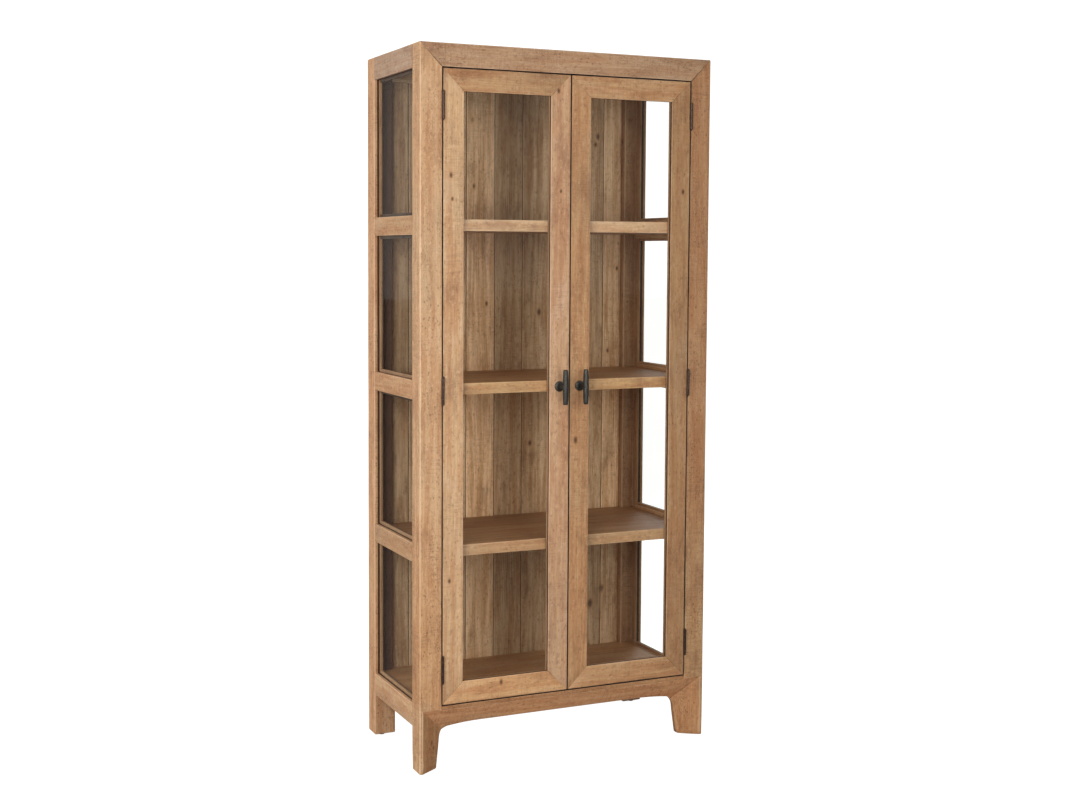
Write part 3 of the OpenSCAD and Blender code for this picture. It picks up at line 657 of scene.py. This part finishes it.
def front_post(side, s):
    """A mitred post. Its leg has a deep chamfer and flares inwards to meet the arch."""
    name = f"post_front_{side}"
    seed = seed_for(name)
    edge, mitre_top = knee_profile()
    rows = []

    def inner_x(z):
        if z >= mitre_top:
            return POST_IN
        if z >= edge[-1][0]:
            f = (z - edge[-1][0]) / (mitre_top - edge[-1][0])
            return edge[-1][1] + (POST_IN - edge[-1][1]) * f
        for (z0, x0), (z1, x1) in zip(edge, edge[1:]):
            if z <= z1:
                return x0 + (x1 - x0) * max(0.0, (z - z0) / (z1 - z0))
        return edge[-1][1]

    def station(z, low, z_out=None):
        zo = z if z_out is None else z_out
        chip = 0.9 * MM
        x_in = inner_x(z) if low else POST_IN
        slant = SLANT_X if low else POST_IN + chip
        y_in = FRONT + (SLANT_X - x_in) * RUN if low else FRONT + chip
        z_slant = z + (zo - z) * (slant - POST_IN) / (HALF_W - POST_IN)
        corners = [
            Vector((HALF_W, FRONT, zo)), Vector((slant, FRONT, z_slant)), Vector((x_in, y_in, z)),
            Vector((x_in, POST_BACK, z)), Vector((HALF_W, POST_BACK, zo)),
        ]
        foot = max(0.0, 1 - (z - FOOT) / 0.06)
        worn = [wobble(seed + 3 * k, z, 2.0 * MM, 4.5 * MM) + foot * 5 * MM for k in range(5)]
        if not low:
            worn[1] = worn[2] = 0.5 * MM
        return ring([mirrored(p, s) for p in corners], worn)

    corners_z = {p[0] for p in edge} | {mitre_top, (mitre_top + SLANT_Z) / 2}
    low_z = sorted(set(stations(FOOT, edge[-1][0], 0.012)) | corners_z)
    kept = [low_z[0]]
    for z in low_z[1:]:
        if z - kept[-1] > 1.5 * MM:
            kept.append(z)
    for z in kept:
        rows.append(station(z, True))
    rows.append(station(SLANT_Z - 0.2 * MM, True))
    rows.append(station(SLANT_Z, False))
    for z in stations(SLANT_Z + 0.03, TOP_LO.z - 0.03):
        rows.append(station(z, False))
    rows.append(station(TOP_LO.z, False, TOP))

    # painted light and shade: the chamfer is darker on the left post and lighter on the right; above the chamfer the
    # colour changes towards the foot
    def shade(p):
        if abs(p.x) < SLANT_X - 2 * MM and p.z < SLANT_Z - 0.1 * MM and p.y < POST_BACK - 8 * MM:
            return CHAMFER_PAINTED_LIGHT[side]
        fade = min(1.0, max(0.0, (FADE_TOP - p.z) / FADE_SPAN)) if p.z > SLANT_Z else BELOW_CHAMFER[side]
        return tuple(1 + fade * c for c in FOOT_CHANGE[side])

    ob = loft(name, "carcass", "pine_frame", rows, "Z", seams=(0.4, 0.5), shade=shade)
    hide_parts(f"front_{side}_post", "leg_knee_blocks")


def rear_post(side, s):
    """A square post, rebated along its inner front corner above the bottom board."""
    name = f"post_rear_{side}"
    seed = seed_for(name)
    raw = mesh_points("rear_right_post")
    notch = min(v.y for v in raw if abs(v.x - POST_IN) < CLOSE and v.z > TOP - 1 * MM)

    def station(z, full):
        y_in = REAR_FRONT + 0.1 * MM if full else notch
        corners = [Vector((HALF_W, REAR_FRONT, z)), Vector((SIDE_IN, REAR_FRONT, z)), Vector((SIDE_IN, y_in, z)),
                   Vector((POST_IN, y_in, z)), Vector((POST_IN, BACK, z)), Vector((HALF_W, BACK, z))]
        worn = [wobble(seed + 3 * k, z, 2.0 * MM, 4.5 * MM) for k in range(6)]
        worn[1] = worn[2] = 0.03 * MM if full else 1.0 * MM
        return ring([mirrored(p, s) for p in corners], worn)

    rows = [station(z, True) for z in stations(FOOT, BOARD_LO.z)]
    rows += [station(z, False) for z in stations(BOARD_LO.z + 0.2 * MM, TOP)]

    # painted shade on the rebated front and the inner face of the post, above the bottom board
    def inside(p):
        faced = p.y < notch + 3 * MM or abs(p.x) < POST_IN + 1 * MM
        return REAR_POST_PAINTED_SHADE[side] if faced and p.z > BOARD_LO.z and abs(p.x) < SIDE_IN + 1 * MM else 0.0

    ob = loft(name, "carcass", "pine_frame", rows, "Z", seams=(0.4, 0.0), inside=inside)
    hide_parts(f"rear_{side}_post")


def span(lo, hi, s):
    """The box between lo and hi, mirrored to the left when s is negative."""
    if s > 0:
        return lo, hi
    return Vector((-hi.x, lo.y, lo.z)), Vector((-lo.x, hi.y, hi.z))


def side_rails(side, s):
    for part in ("top", "upper", "middle", "lower", "bottom"):
        node = f"{side}_side_{part}_rail"
        lo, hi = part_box(f"right_side_{part}_rail")
        a, b = span(Vector((lo.x, POST_BACK, lo.z)), Vector((hi.x, REAR_FRONT, hi.z)), s)
        ob = bar(f"rail_{side}_{part}", "carcass", "pine_frame", a, b, "Y", 1.8 * MM)
        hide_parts(node)


def side_beads(side, s):
    """Four glazing strips behind each side pane."""
    beads = []
    lo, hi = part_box("right_side_beads")

    def shaded(i, k, level):
        """Which parts of a strip the room light misses."""
        if s > 0:
            depth = 1.0 if k and not level else 0.45
            return lambda p: depth if abs(p.x) > SIDE_IN + 2.5 * MM and not (level and k) else 0.0
        return lambda p: 1.0 if abs(p.x) < SIDE_IN + 3 * MM or level and (k or i == 3) else 0.0

    names = ("bottom", "lower", "middle", "upper", "top")
    edges = [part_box(f"right_side_{n}_rail") for n in names]
    wide = 9 * MM
    for i in range(4):
        z0, z1 = edges[i][1].z, edges[i + 1][0].z
        for k, (y0, y1) in enumerate(((POST_BACK, POST_BACK + wide), (REAR_FRONT - wide, REAR_FRONT))):
            a, b = span(Vector((lo.x, y0, z0)), Vector((hi.x, y1, z1)), s)
            beads.append(bar(f"bead_{side}_{i}_v{k}", "carcass", "pine_bead", a, b, "Z", 1.0 * MM, 0.1 * MM,
                             inside=shaded(i, k, False)))
        for k, (c0, c1) in enumerate(((z0, z0 + wide), (z1 - wide, z1))):
            a, b = span(Vector((lo.x, POST_BACK + wide, c0)), Vector((hi.x, REAR_FRONT - wide, c1)), s)
            beads.append(bar(f"bead_{side}_{i}_h{k}", "carcass", "pine_bead", a, b, "Y", 1.0 * MM, 0.1 * MM,
                             inside=shaded(i, k, True)))
    for ob in beads:
        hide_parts(f"{side}_side_beads")


def front_rails():
    def mitre(p, end):
        rise = (TOP_HI.z - p.z)
        return rise if end == 0 else -rise

    ob = bar("rail_front_top", "carcass", "pine_frame", Vector((-HALF_W, FRONT, TOP_LO.z)),
             Vector((HALF_W, POST_BACK, TOP_HI.z)), "X", 2.2 * MM, ends=mitre, seams=(0.55, 0.7))
    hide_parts("front_top_rail")
    ob = bar("lip_front", "carcass", "pine_frame", LIP_LO, LIP_HI, "X", 2.0 * MM)
    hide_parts("front_bottom_lip")


def outline_of(node, plane_y):
    """The (x, z) points of a CAD node's mesh on one plane, without repeats."""
    found = {}
    for p in mesh_points(node):
        if abs(p.y - plane_y) < CLOSE:
            found[(round(p.x, 6), round(p.z, 6))] = (p.x, p.z)
    return list(found.values())


def inset(points, amount):
    """Moves a closed (x, z) outline inwards by amount."""
    made = []
    count = len(points)
    area = sum(points[i - 1][0] * points[i][1] - points[i][0] * points[i - 1][1] for i in range(count))
    turn = 1 if area > 0 else -1
    for i in range(count):
        a, p, b = Vector(points[i - 1]), Vector(points[i]), Vector(points[(i + 1) % count])
        d0, d1 = (p - a).normalized(), (b - p).normalized()
        n0, n1 = Vector((-d0.y, d0.x)) * turn, Vector((-d1.y, d1.x)) * turn
        n = (n0 + n1)
        n = n / max(0.35, n.length_squared / 2)
        made.append(tuple(p + n * amount))
    return made


def slab(name, slot, points, front_at, y1, grain_axis, ease=1.2 * MM, band=6 * MM):
    """A board sawn to a closed (x, z) outline. front_at(z) gives the front face's depth."""
    seed = seed_for(name)
    small, middle = inset(points, ease), inset(points, ease + band)
    levels = [(middle, 0.0, 0.0), (small, 0.0, 0.7), (points, ease, 0.9),
              (points, None, 0.6), (small, None, 0.6), (middle, None, 0.0)]
    verts, wear = [], []
    for k, (pts, back, w) in enumerate(levels):
        for x, z in pts:
            y = (y1 - (ease if k == 3 else 0.0)) if back is None else front_at(z) + back
            verts.append(rough_up(Vector((x, y, z)), seed, 0.3 * MM))
            wear.append(w)
    xs, zs = [p[0] for p in points], [p[1] for p in points]
    centre = Vector(((min(xs) + max(xs)) / 2, y1, (min(zs) + max(zs)) / 2))
    return make(name, "carcass", slot, verts, skin(len(levels), len(points)), wear, grain_axis, centre)


def apron():
    """The arched board, with ends mitred into the legs and a deep chamfer down its face."""
    raw = [p for p in outline_of("front_apron", POST_BACK) if abs(p[0]) < POST_IN + CLOSE]
    low = sorted(p for p in raw if p[1] < LEDGE - CLOSE)
    low = [p for p in low if abs(p[0]) < POST_IN - CLOSE]
    fine = [low[0]]
    for p in low[1:]:
        gap = p[0] - fine[-1][0]
        steps = max(1, round(gap / 0.04))
        q = fine[-1]
        fine += [(q[0] + gap * k / steps, q[1] + (p[1] - q[1]) * k / steps) for k in range(1, steps + 1)]
    hide = 1.0 * MM
    top = [(POST_IN - hide, SLANT_Z), (POST_IN - hide, LEDGE)]
    tip = [(SLANT_X, SLANT_Z)]
    points = [(-x, z) for x, z in tip] + fine + tip + top + [(-x, z) for x, z in reversed(top)]
    board = slab("apron_board", "pine_frame", points, lambda z: FRONT + (SLANT_Z - z) * RUN, POST_BACK, "X")
    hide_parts("front_apron")


def notched(name, node, front, slot):
    """A board notched round the posts: wide between the side rails, long between the posts."""
    lo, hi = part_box(node)
    rows = []
    seed = seed_for(name)
    play = 1 * MM
    raw = mesh_points(node)
    short = (POST_BACK + play, max(v.y for v in raw if abs(v.x) > POST_IN + 1 * MM))
    inner = POST_IN - play

    def row(x, y0, y1):
        corners = [Vector((x, y0, lo.z)), Vector((x, y1, lo.z)), Vector((x, y1, hi.z)), Vector((x, y0, hi.z))]
        radii = [wobble(seed + 3 * k, x, 1.5 * MM, 3.0 * MM) for k in range(4)]
        return ring(corners, radii)

    for x in (lo.x, (lo.x - inner) / 2, -inner - 0.2 * MM):
        rows.append(row(x, *short))
    for x in stations(-inner, inner, 0.05):
        rows.append(row(x, front, hi.y))
    for x in (inner + 0.2 * MM, (hi.x + inner) / 2, hi.x):
        rows.append(row(x, *short))
    # painted shade darkens every face of the board behind its front edge, except the top of the cabinet
    ob = loft(name, "carcass", slot, rows, "X", wave=0.3 * MM,
              inside=lambda p: 0.0 if p.y < front + 4 * MM or p.z > TOP - 1 * MM else 1.0)
    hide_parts(node)


def boards():
    for which in ("upper", "middle", "lower"):
        lo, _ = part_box(f"{which}_shelf")
        notched(f"shelf_{which}", f"{which}_shelf", lo.y, "pine_shelf")
    notched("board_bottom", "bottom_board", POST_BACK, "pine_shelf")
    notched("board_top", "top_board", POST_BACK, "pine_frame")
    lo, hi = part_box("shelf_cleats")
    raw = mesh_points("shelf_cleats")
    deep = min(abs(v.x) for v in raw)
    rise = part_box("top_board")[0].z - sorted({round(v.z, 6) for v in raw})[-2]
    for part in ("bottom_board", "lower_shelf", "middle_shelf", "upper_shelf", "top_board"):
        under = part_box(part)[0].z
        for side, s in SIDES:
            a, b = span(Vector((deep, lo.y, under - rise)), Vector((hi.x, hi.y, under)), s)
            ob = bar(f"cleat_{side}_{part}", "carcass", "pine_back", a, b, "Y", 1.2 * MM)
            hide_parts("shelf_cleats")


def plank_light(plank, z):
    """The painted light and shade on a plank's inner face at a height."""
    bay = next((light for top, light in BAY_LIGHT if z < top), 1.0)
    if plank < 2 and z < BAY_LIGHT[0][0]:
        bay = max(bay, LOW_LEFT_LIGHT)
    return PLANK_LIGHT[plank] * bay


def back():
    """Nine planks with V-joints, and the two rails in front of them."""
    verts_x = sorted({round(p.x, 5) for p in mesh_points("back_planks")})
    lo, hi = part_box("back_planks")
    pitch = 94.5 * MM
    first = -3.5 * pitch - 2.75 * MM
    joints = [min(verts_x, key=lambda x: abs(x - (first + i * pitch))) for i in range(8)]
    edges = [lo.x] + joints + [hi.x]
    vee = 2.2 * MM
    for i in range(9):
        x0, x1 = edges[i] + 0.15 * MM, edges[i + 1] - 0.15 * MM
        name = f"plank_{i}"
        seed = seed_for(name)
        rows = []
        for z in stations(lo.z, hi.z, 0.06):
            corners = [Vector((x0 + vee, lo.y, z)), Vector((x1 - vee, lo.y, z)), Vector((x1, lo.y + vee, z)),
                       Vector((x1, hi.y, z)), Vector((x0, hi.y, z)), Vector((x0, lo.y + vee, z))]
            worn = wobble(seed, z, 0.4 * MM, 1.0 * MM)
            rows.append(ring(corners, (worn, worn, worn, 2 * worn, 2 * worn, worn), band=5 * MM, steps=2))
        # the inner face gets painted light and shade, plank by plank and bay by bay
        ob = loft(name, "carcass", "pine_back", rows, "Z", wave=0.25 * MM,
                  stain=lambda p: 1.0 if lo.y + 1.4 * MM < p.y < hi.y - 0.7 * MM else 0.0,
                  shade=lambda p: (plank_light(i, p.z) if p.y < lo.y + 3 * MM else 1.0,) * 3)
        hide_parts("back_planks")
    y0, y1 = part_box("rear_top_rail")[0].y, lo.y
    for part in ("top", "bottom"):
        a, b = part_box(f"rear_{part}_rail")
        ob = bar(f"rail_rear_{part}", "carcass", "pine_back", Vector((-POST_IN, y0, a.z)),
                 Vector((POST_IN, y1, b.z)), "X", 2 * MM)
        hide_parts(f"rear_{part}_rail")


# -------- doors
def door(side, s):
    """A mitred frame in four timbers, with glazing beads behind its pane."""
    body = f"{side}_door"
    lo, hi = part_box("right_door_hinge_stile")
    mid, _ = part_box("right_door_meeting_stile")
    glass_lo, glass_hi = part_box("right_door_glass")
    x0, x1, z0, z1 = mid.x, hi.x, lo.z, hi.z
    wide = hi.x - lo.x
    y0, y1, lip = lo.y, hi.y, glass_lo.y - lo.y
    rebate = glass_lo.x - mid.x - 1 * MM
    section = [(0, 0), (wide, 0), (wide, lip), (rebate, lip), (rebate, y1 - y0), (0, y1 - y0)]

    def across(t, u):
        return x0 + u + t * (x1 - x0 - 2 * u)

    def up(t, u):
        return z0 + u + t * (z1 - z0 - 2 * u)

    members = (
        ("hinge_stile", "Z", lambda t, u: (x1 - u, up(t, u))),
        ("meeting_stile", "Z", lambda t, u: (x0 + u, up(t, u))),
        ("top_rail", "X", lambda t, u: (across(t, u), z1 - u)),
        ("bottom_rail", "X", lambda t, u: (across(t, u), z0 + u)),
    )

    def glass_line(p):
        """1 in the rebate beside the pane, where old wax collects."""
        if not 0.4 * lip < p.y - y0 < lip + 1.2 * MM:
            return 0.0
        near = min(abs(abs(p.x) - x0 - wide), abs(abs(p.x) - x1 + wide), abs(p.z - z0 - wide), abs(p.z - z1 + wide))
        return 1.0 if near < 1.2 * MM else 0.0

    for part, grain_axis, place in members:
        name = f"{body}_{part}_timber"
        seed = seed_for(name)
        long = z1 - z0 if grain_axis == "Z" else x1 - x0
        rows = []
        for t in stations(0.0, 1.0, 0.035 / long):
            corners = []
            for u, v in section:
                x, z = place(t, u)
                corners.append(mirrored(Vector((x, y0 + v, z)), s))
            radii = [wobble(seed, t * long, 0.5 * MM, 1.3 * MM), wobble(seed + 3, t * long, 0.9 * MM, 2.4 * MM)]
            radii += [0.6 * MM] * 3 + [1.0 * MM]
            rows.append(ring(corners, radii))
        ob = loft(name, body, "pine_door", rows, grain_axis, ease=0.5 * MM, wave=0.2 * MM, stain=glass_line)
        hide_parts(f"{side}_door_{part}")
    # glazing beads behind the pane
    yb0, yb1 = glass_hi.y, y1
    in_x0, in_x1, in_z0, in_z1 = x0 + wide, x1 - wide, z0 + wide, z1 - wide
    out = wide - rebate
    slim = 1.5 * MM
    pieces = (
        ("hinge", "Z", (in_x1 + slim, in_z0 - out), (in_x1 + out, in_z1 + out)),
        ("meeting", "Z", (in_x0 - out, in_z0 - out), (in_x0 - slim, in_z1 + out)),
        ("top", "X", (in_x0 - slim, in_z1 + slim), (in_x1 + slim, in_z1 + out)),
        ("bottom", "X", (in_x0 - slim, in_z0 - out), (in_x1 + slim, in_z0 - slim)),
    )
    for part, grain_axis, a, b in pieces:
        a, b = span(Vector((a[0], yb0, a[1])), Vector((b[0], yb1, b[1])), s)
        ob = bar(f"{body}_{part}_bead", body, "pine_bead", a, b, grain_axis, 0.8 * MM, 0.1 * MM)
        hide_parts(f"{side}_door_beads")


# -------- hardware
def lathe(name, body, slot, profile, centre, axis, steps=40, dents=0.0):
    """Spins a profile of (along, radius, wear) about an axis through centre."""
    seed = seed_for(name)
    k = "XYZ".index(axis)
    u, v = [i for i in range(3) if i != k]
    verts, wear = [], []
    for along, r, w in profile:
        for j in range(steps):
            a = 2 * math.pi * j / steps
            p = centre.copy()
            p[k] += along
            p[u] += r * math.cos(a)
            p[v] += r * math.sin(a)
            n = noise.noise(p * 260 + Vector((seed, 0, 0)))
            p[u] += math.cos(a) * n * dents
            p[v] += math.sin(a) * n * dents
            verts.append(p)
            wear.append(w)
    return make(name, body, slot, verts, skin(len(profile), steps), wear, axis, centre, smooth=0.9)


def handle(side, s):
    body = f"{side}_door"
    lo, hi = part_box("right_handle_bar")
    plate_lo, plate_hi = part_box("right_handle_plate")
    x, z = s * (lo.x + hi.x) / 2, (lo.z + hi.z) / 2
    belly, half = (hi.x - lo.x) / 2, (hi.z - lo.z) / 2
    tip = belly * 0.80
    bar_y = lo.y + belly
    profile = []
    for i in range(25):
        f = -1 + 2 * i / 24
        profile.append((f * (half - 1.2 * MM), tip + (belly - tip) * (1 - abs(f) ** 2.2), 0.25 + 0.5 * abs(f) ** 8))
    end = tip - 0.6 * MM
    profile = [(-half, end - 1.2 * MM, 0.9), (-half + 0.35 * MM, end, 1.0)] + profile
    profile += [(half - 0.35 * MM, end, 1.0), (half, end - 1.2 * MM, 0.9)]
    grip = lathe(f"{side}_bar", body, "black_iron", profile, Vector((x, bar_y, z)), "Z", dents=0.22 * MM)
    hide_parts(f"{side}_handle_bar")
    stem_r = 5 * MM
    stem_profile = []
    length = plate_lo.y - bar_y
    for i in range(13):
        f = i / 12
        flare = 1.6 * MM * max(0.0, abs(f - 0.5) * 2 - 0.45) ** 2 * 3
        stem_profile.append((2 * MM + f * (length - 1.5 * MM), stem_r + flare, 0.2))
    stem = lathe(f"{side}_stem", body, "black_iron", stem_profile, Vector((x, bar_y, z)), "Y", 32, 0.12 * MM)
    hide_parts(f"{side}_handle_bar")
    r = (plate_hi.x - plate_lo.x) / 2
    t = plate_hi.y - plate_lo.y
    rose = [(0.0, 2 * MM, 0.1), (0.1 * MM, r * 0.5, 0.2), (0.5 * MM, r * 0.72, 0.3), (1.3 * MM, r * 0.88, 0.8),
            (2.2 * MM, r * 0.965, 1.0), (3.2 * MM, r, 0.7), (t, r, 0.3)]
    plate = lathe(f"{side}_rosette", body, "black_iron", rose, Vector((x, plate_lo.y, z)), "Y", 48, 0.12 * MM)
    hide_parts(f"{side}_handle_plate")


def polish(node, slot, width):
    """A copy of a CAD node with small rounded edges."""
    source = frame["nodes"][node]
    mesh = source.data.copy()
    mesh.name = f"{node}_eased"
    bm = bmesh.new()
    bm.from_mesh(mesh)
    bmesh.ops.remove_doubles(bm, verts=bm.verts, dist=CLOSE)
    bmesh.ops.dissolve_limit(bm, angle_limit=0.01, verts=bm.verts, edges=bm.edges)
    sharp = [e for e in bm.edges if len(e.link_faces) == 2 and e.calc_face_angle(0.0) > 0.7]
    bmesh.ops.bevel(bm, geom=sharp, offset=width, segments=2, affect="EDGES", clamp_overlap=True)
    for f in bm.faces:
        f.smooth = True
    for e in bm.edges:
        e.smooth = e.calc_face_angle(0.0) < 0.9
    bm.to_mesh(mesh)
    bm.free()
    mesh.materials.clear()
    mesh.materials.append(MATS[slot])
    ob = bpy.data.objects.new(f"{node}_eased", mesh)
    scene.collection.objects.link(ob)
    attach(ob, source["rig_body"])
    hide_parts(node)


def hardware():
    """Metal and plastic fittings with rounded edges."""
    fittings = [("hinge_frame_leaves", "hinge_bronze", 0.3), ("hinge_pins", "hinge_bronze", 0.25),
                ("hinge_frame_screws", "screw_steel", 0.15), ("door_catches", "catch_plastic", 0.6),
                ("foot_glides", "glide_felt", 0.8)]
    for side, _ in SIDES:
        fittings += [(f"{side}_hinge_leaves", "hinge_bronze", 0.3), (f"{side}_hinge_screws", "screw_steel", 0.15),
                     (f"{side}_handle_screw", "screw_steel", 0.15), (f"{side}_strike_plate", "screw_steel", 0.3)]
    for node, slot, width in fittings:
        polish(node, slot, width * MM)


def plain_nodes():
    """CAD nodes that keep their own mesh get their detailed material."""
    slots = {p["node"]: p["material_slot"] for p in frame["record"]["subparts"]}
    for name, ob in frame["nodes"].items():
        mat = MATS[slots[name]]
        if not ob.material_slots:
            ob.data.materials.append(mat)
        for s in ob.material_slots:
            s.material = mat


# -------- camera, light and floor
def camera():
    """The photograph's viewpoint: angles in radians, focal length and image centre in its pixels."""
    yaw, pitch, roll = 0.4211, -0.0684, 0.0047
    focal, wide, tall = 1492.93, 1066.0, 800.0
    centre_x, centre_y = 514.23, 355.27
    eye = Vector((-1.8882, (FRONT + BACK) / 2 - 4.0498, 1.4616))
    look = Vector((math.sin(yaw) * math.cos(pitch), math.cos(yaw) * math.cos(pitch), math.sin(pitch)))
    right = Vector((math.cos(yaw), -math.sin(yaw), 0.0))
    up = right.cross(look)
    r = right * math.cos(roll) + up * math.sin(roll)
    u = up * math.cos(roll) - right * math.sin(roll)
    cam = bpy.data.cameras.new("camera")
    cam.sensor_fit = "HORIZONTAL"
    cam.sensor_width = 36.0
    cam.lens = focal / wide * cam.sensor_width
    cam.shift_x = (wide / 2 - centre_x) / wide
    cam.shift_y = (centre_y - tall / 2) / wide
    cam.clip_end = 100.0
    ob = bpy.data.objects.new("camera", cam)
    scene.collection.objects.link(ob)
    ob.matrix_world = Matrix.Translation(eye) @ Matrix((r, u, -look)).transposed().to_4x4()
    scene.camera = ob


WORLD_TINT = (1.0, 0.95, 0.89, 1.0)
WORLD_LEVEL, WORLD_IN_MIRRORS, WORLD_SEEN = 0.32, 0.7, 1.2
FLOOR_GLOW = 0.97      # seen by the camera only, so that the floor is as white as the background
# name, place, target, size, power in watts, colour
LAMPS = (
    ("key", (-2.4, -2.5, 1.75), (0.1, 0.0, 1.0), (1.4, 1.8), 59.0, (1.0, 0.98, 0.95)),
    ("side", (-3.2, 1.3, 1.3), (-0.45, 0.0, 1.0), (1.4, 2.0), 37.0, (1.0, 0.98, 0.96)),
    ("back", (2.8, 2.4, 1.3), (0.4, 0.0, 1.0), (1.4, 1.8), 24.0, (1.0, 1.0, 1.0)),
    ("front", (-0.25, -3.6, 1.35), (0.0, 0.0, 1.2), (0.6, 1.7), 27.0, (1.0, 1.0, 1.0)),
    ("fill", (1.2, -4.6, 2.4), (0.0, 0.0, 1.1), (2.4, 2.4), 8.0, (1.0, 1.0, 1.0)),
)


def lamp(name, place, target, size, power, colour):
    light = bpy.data.lights.new(name, "AREA")
    light.shape = "RECTANGLE"
    light.size, light.size_y = size
    light.energy = power
    light.color = colour
    ob = bpy.data.objects.new(name, light)
    ob.location = place
    ob.rotation_euler = (Vector(target) - Vector(place)).to_track_quat("-Z", "Y").to_euler()
    scene.collection.objects.link(ob)


def studio():
    """A soft studio: an even world, which the camera sees as white, five lamps and a pale floor."""
    world = bpy.data.worlds.new("studio")
    scene.world = world
    world.use_nodes = True
    nt = world.node_tree
    ground = nt.nodes["Background"]
    ground.inputs[0].default_value = WORLD_TINT
    white = nt.nodes.new("ShaderNodeBackground")
    white.inputs[0].default_value = (1.0, 1.0, 1.0, 1.0)
    white.inputs[1].default_value = WORLD_SEEN
    ray = nt.nodes.new("ShaderNodeLightPath")
    level = nt.nodes.new("ShaderNodeMapRange")
    level.inputs["To Min"].default_value = WORLD_LEVEL
    level.inputs["To Max"].default_value = WORLD_IN_MIRRORS
    nt.links.new(ray.outputs["Is Glossy Ray"], level.inputs["Value"])
    nt.links.new(level.outputs[0], ground.inputs[1])
    join = nt.nodes.new("ShaderNodeMixShader")
    nt.links.new(ray.outputs["Is Camera Ray"], join.inputs[0])
    nt.links.new(ground.outputs[0], join.inputs[1])
    nt.links.new(white.outputs[0], join.inputs[2])
    nt.links.new(join.outputs[0], nt.nodes["World Output"].inputs[0])
    for row in LAMPS:
        lamp(*row)
    mesh = bpy.data.meshes.new("floor")
    bm = bmesh.new()
    bmesh.ops.create_grid(bm, x_segments=2, y_segments=2, size=40.0)
    bm.to_mesh(mesh)
    bm.free()
    floor = bpy.data.objects.new("floor", mesh)
    scene.collection.objects.link(floor)
    t = Tree("pale_floor")
    place = t.here()
    seen = t.node("ShaderNodeLightPath").outputs["Is Camera Ray"]
    shade = t.mix(t.noise(place, 2.0, 3.0), (0.42, 0.415, 0.41), (0.45, 0.445, 0.44))
    mesh.materials.append(t.surface(Base_Color=shade, Roughness=0.9, Specular_IOR_Level=0.1,
                                    Emission_Color=(1.0, 1.0, 1.0),
                                    Emission_Strength=t.mul(seen, FLOOR_GLOW)))
    scene.view_settings.view_transform = "Standard"


camera()
studio()
plain_nodes()
for side_name, sign in SIDES:
    front_post(side_name, sign)
    rear_post(side_name, sign)
    side_rails(side_name, sign)
    side_beads(side_name, sign)
    door(side_name, sign)
    handle(side_name, sign)
front_rails()
apron()
boards()
back()
hardware()
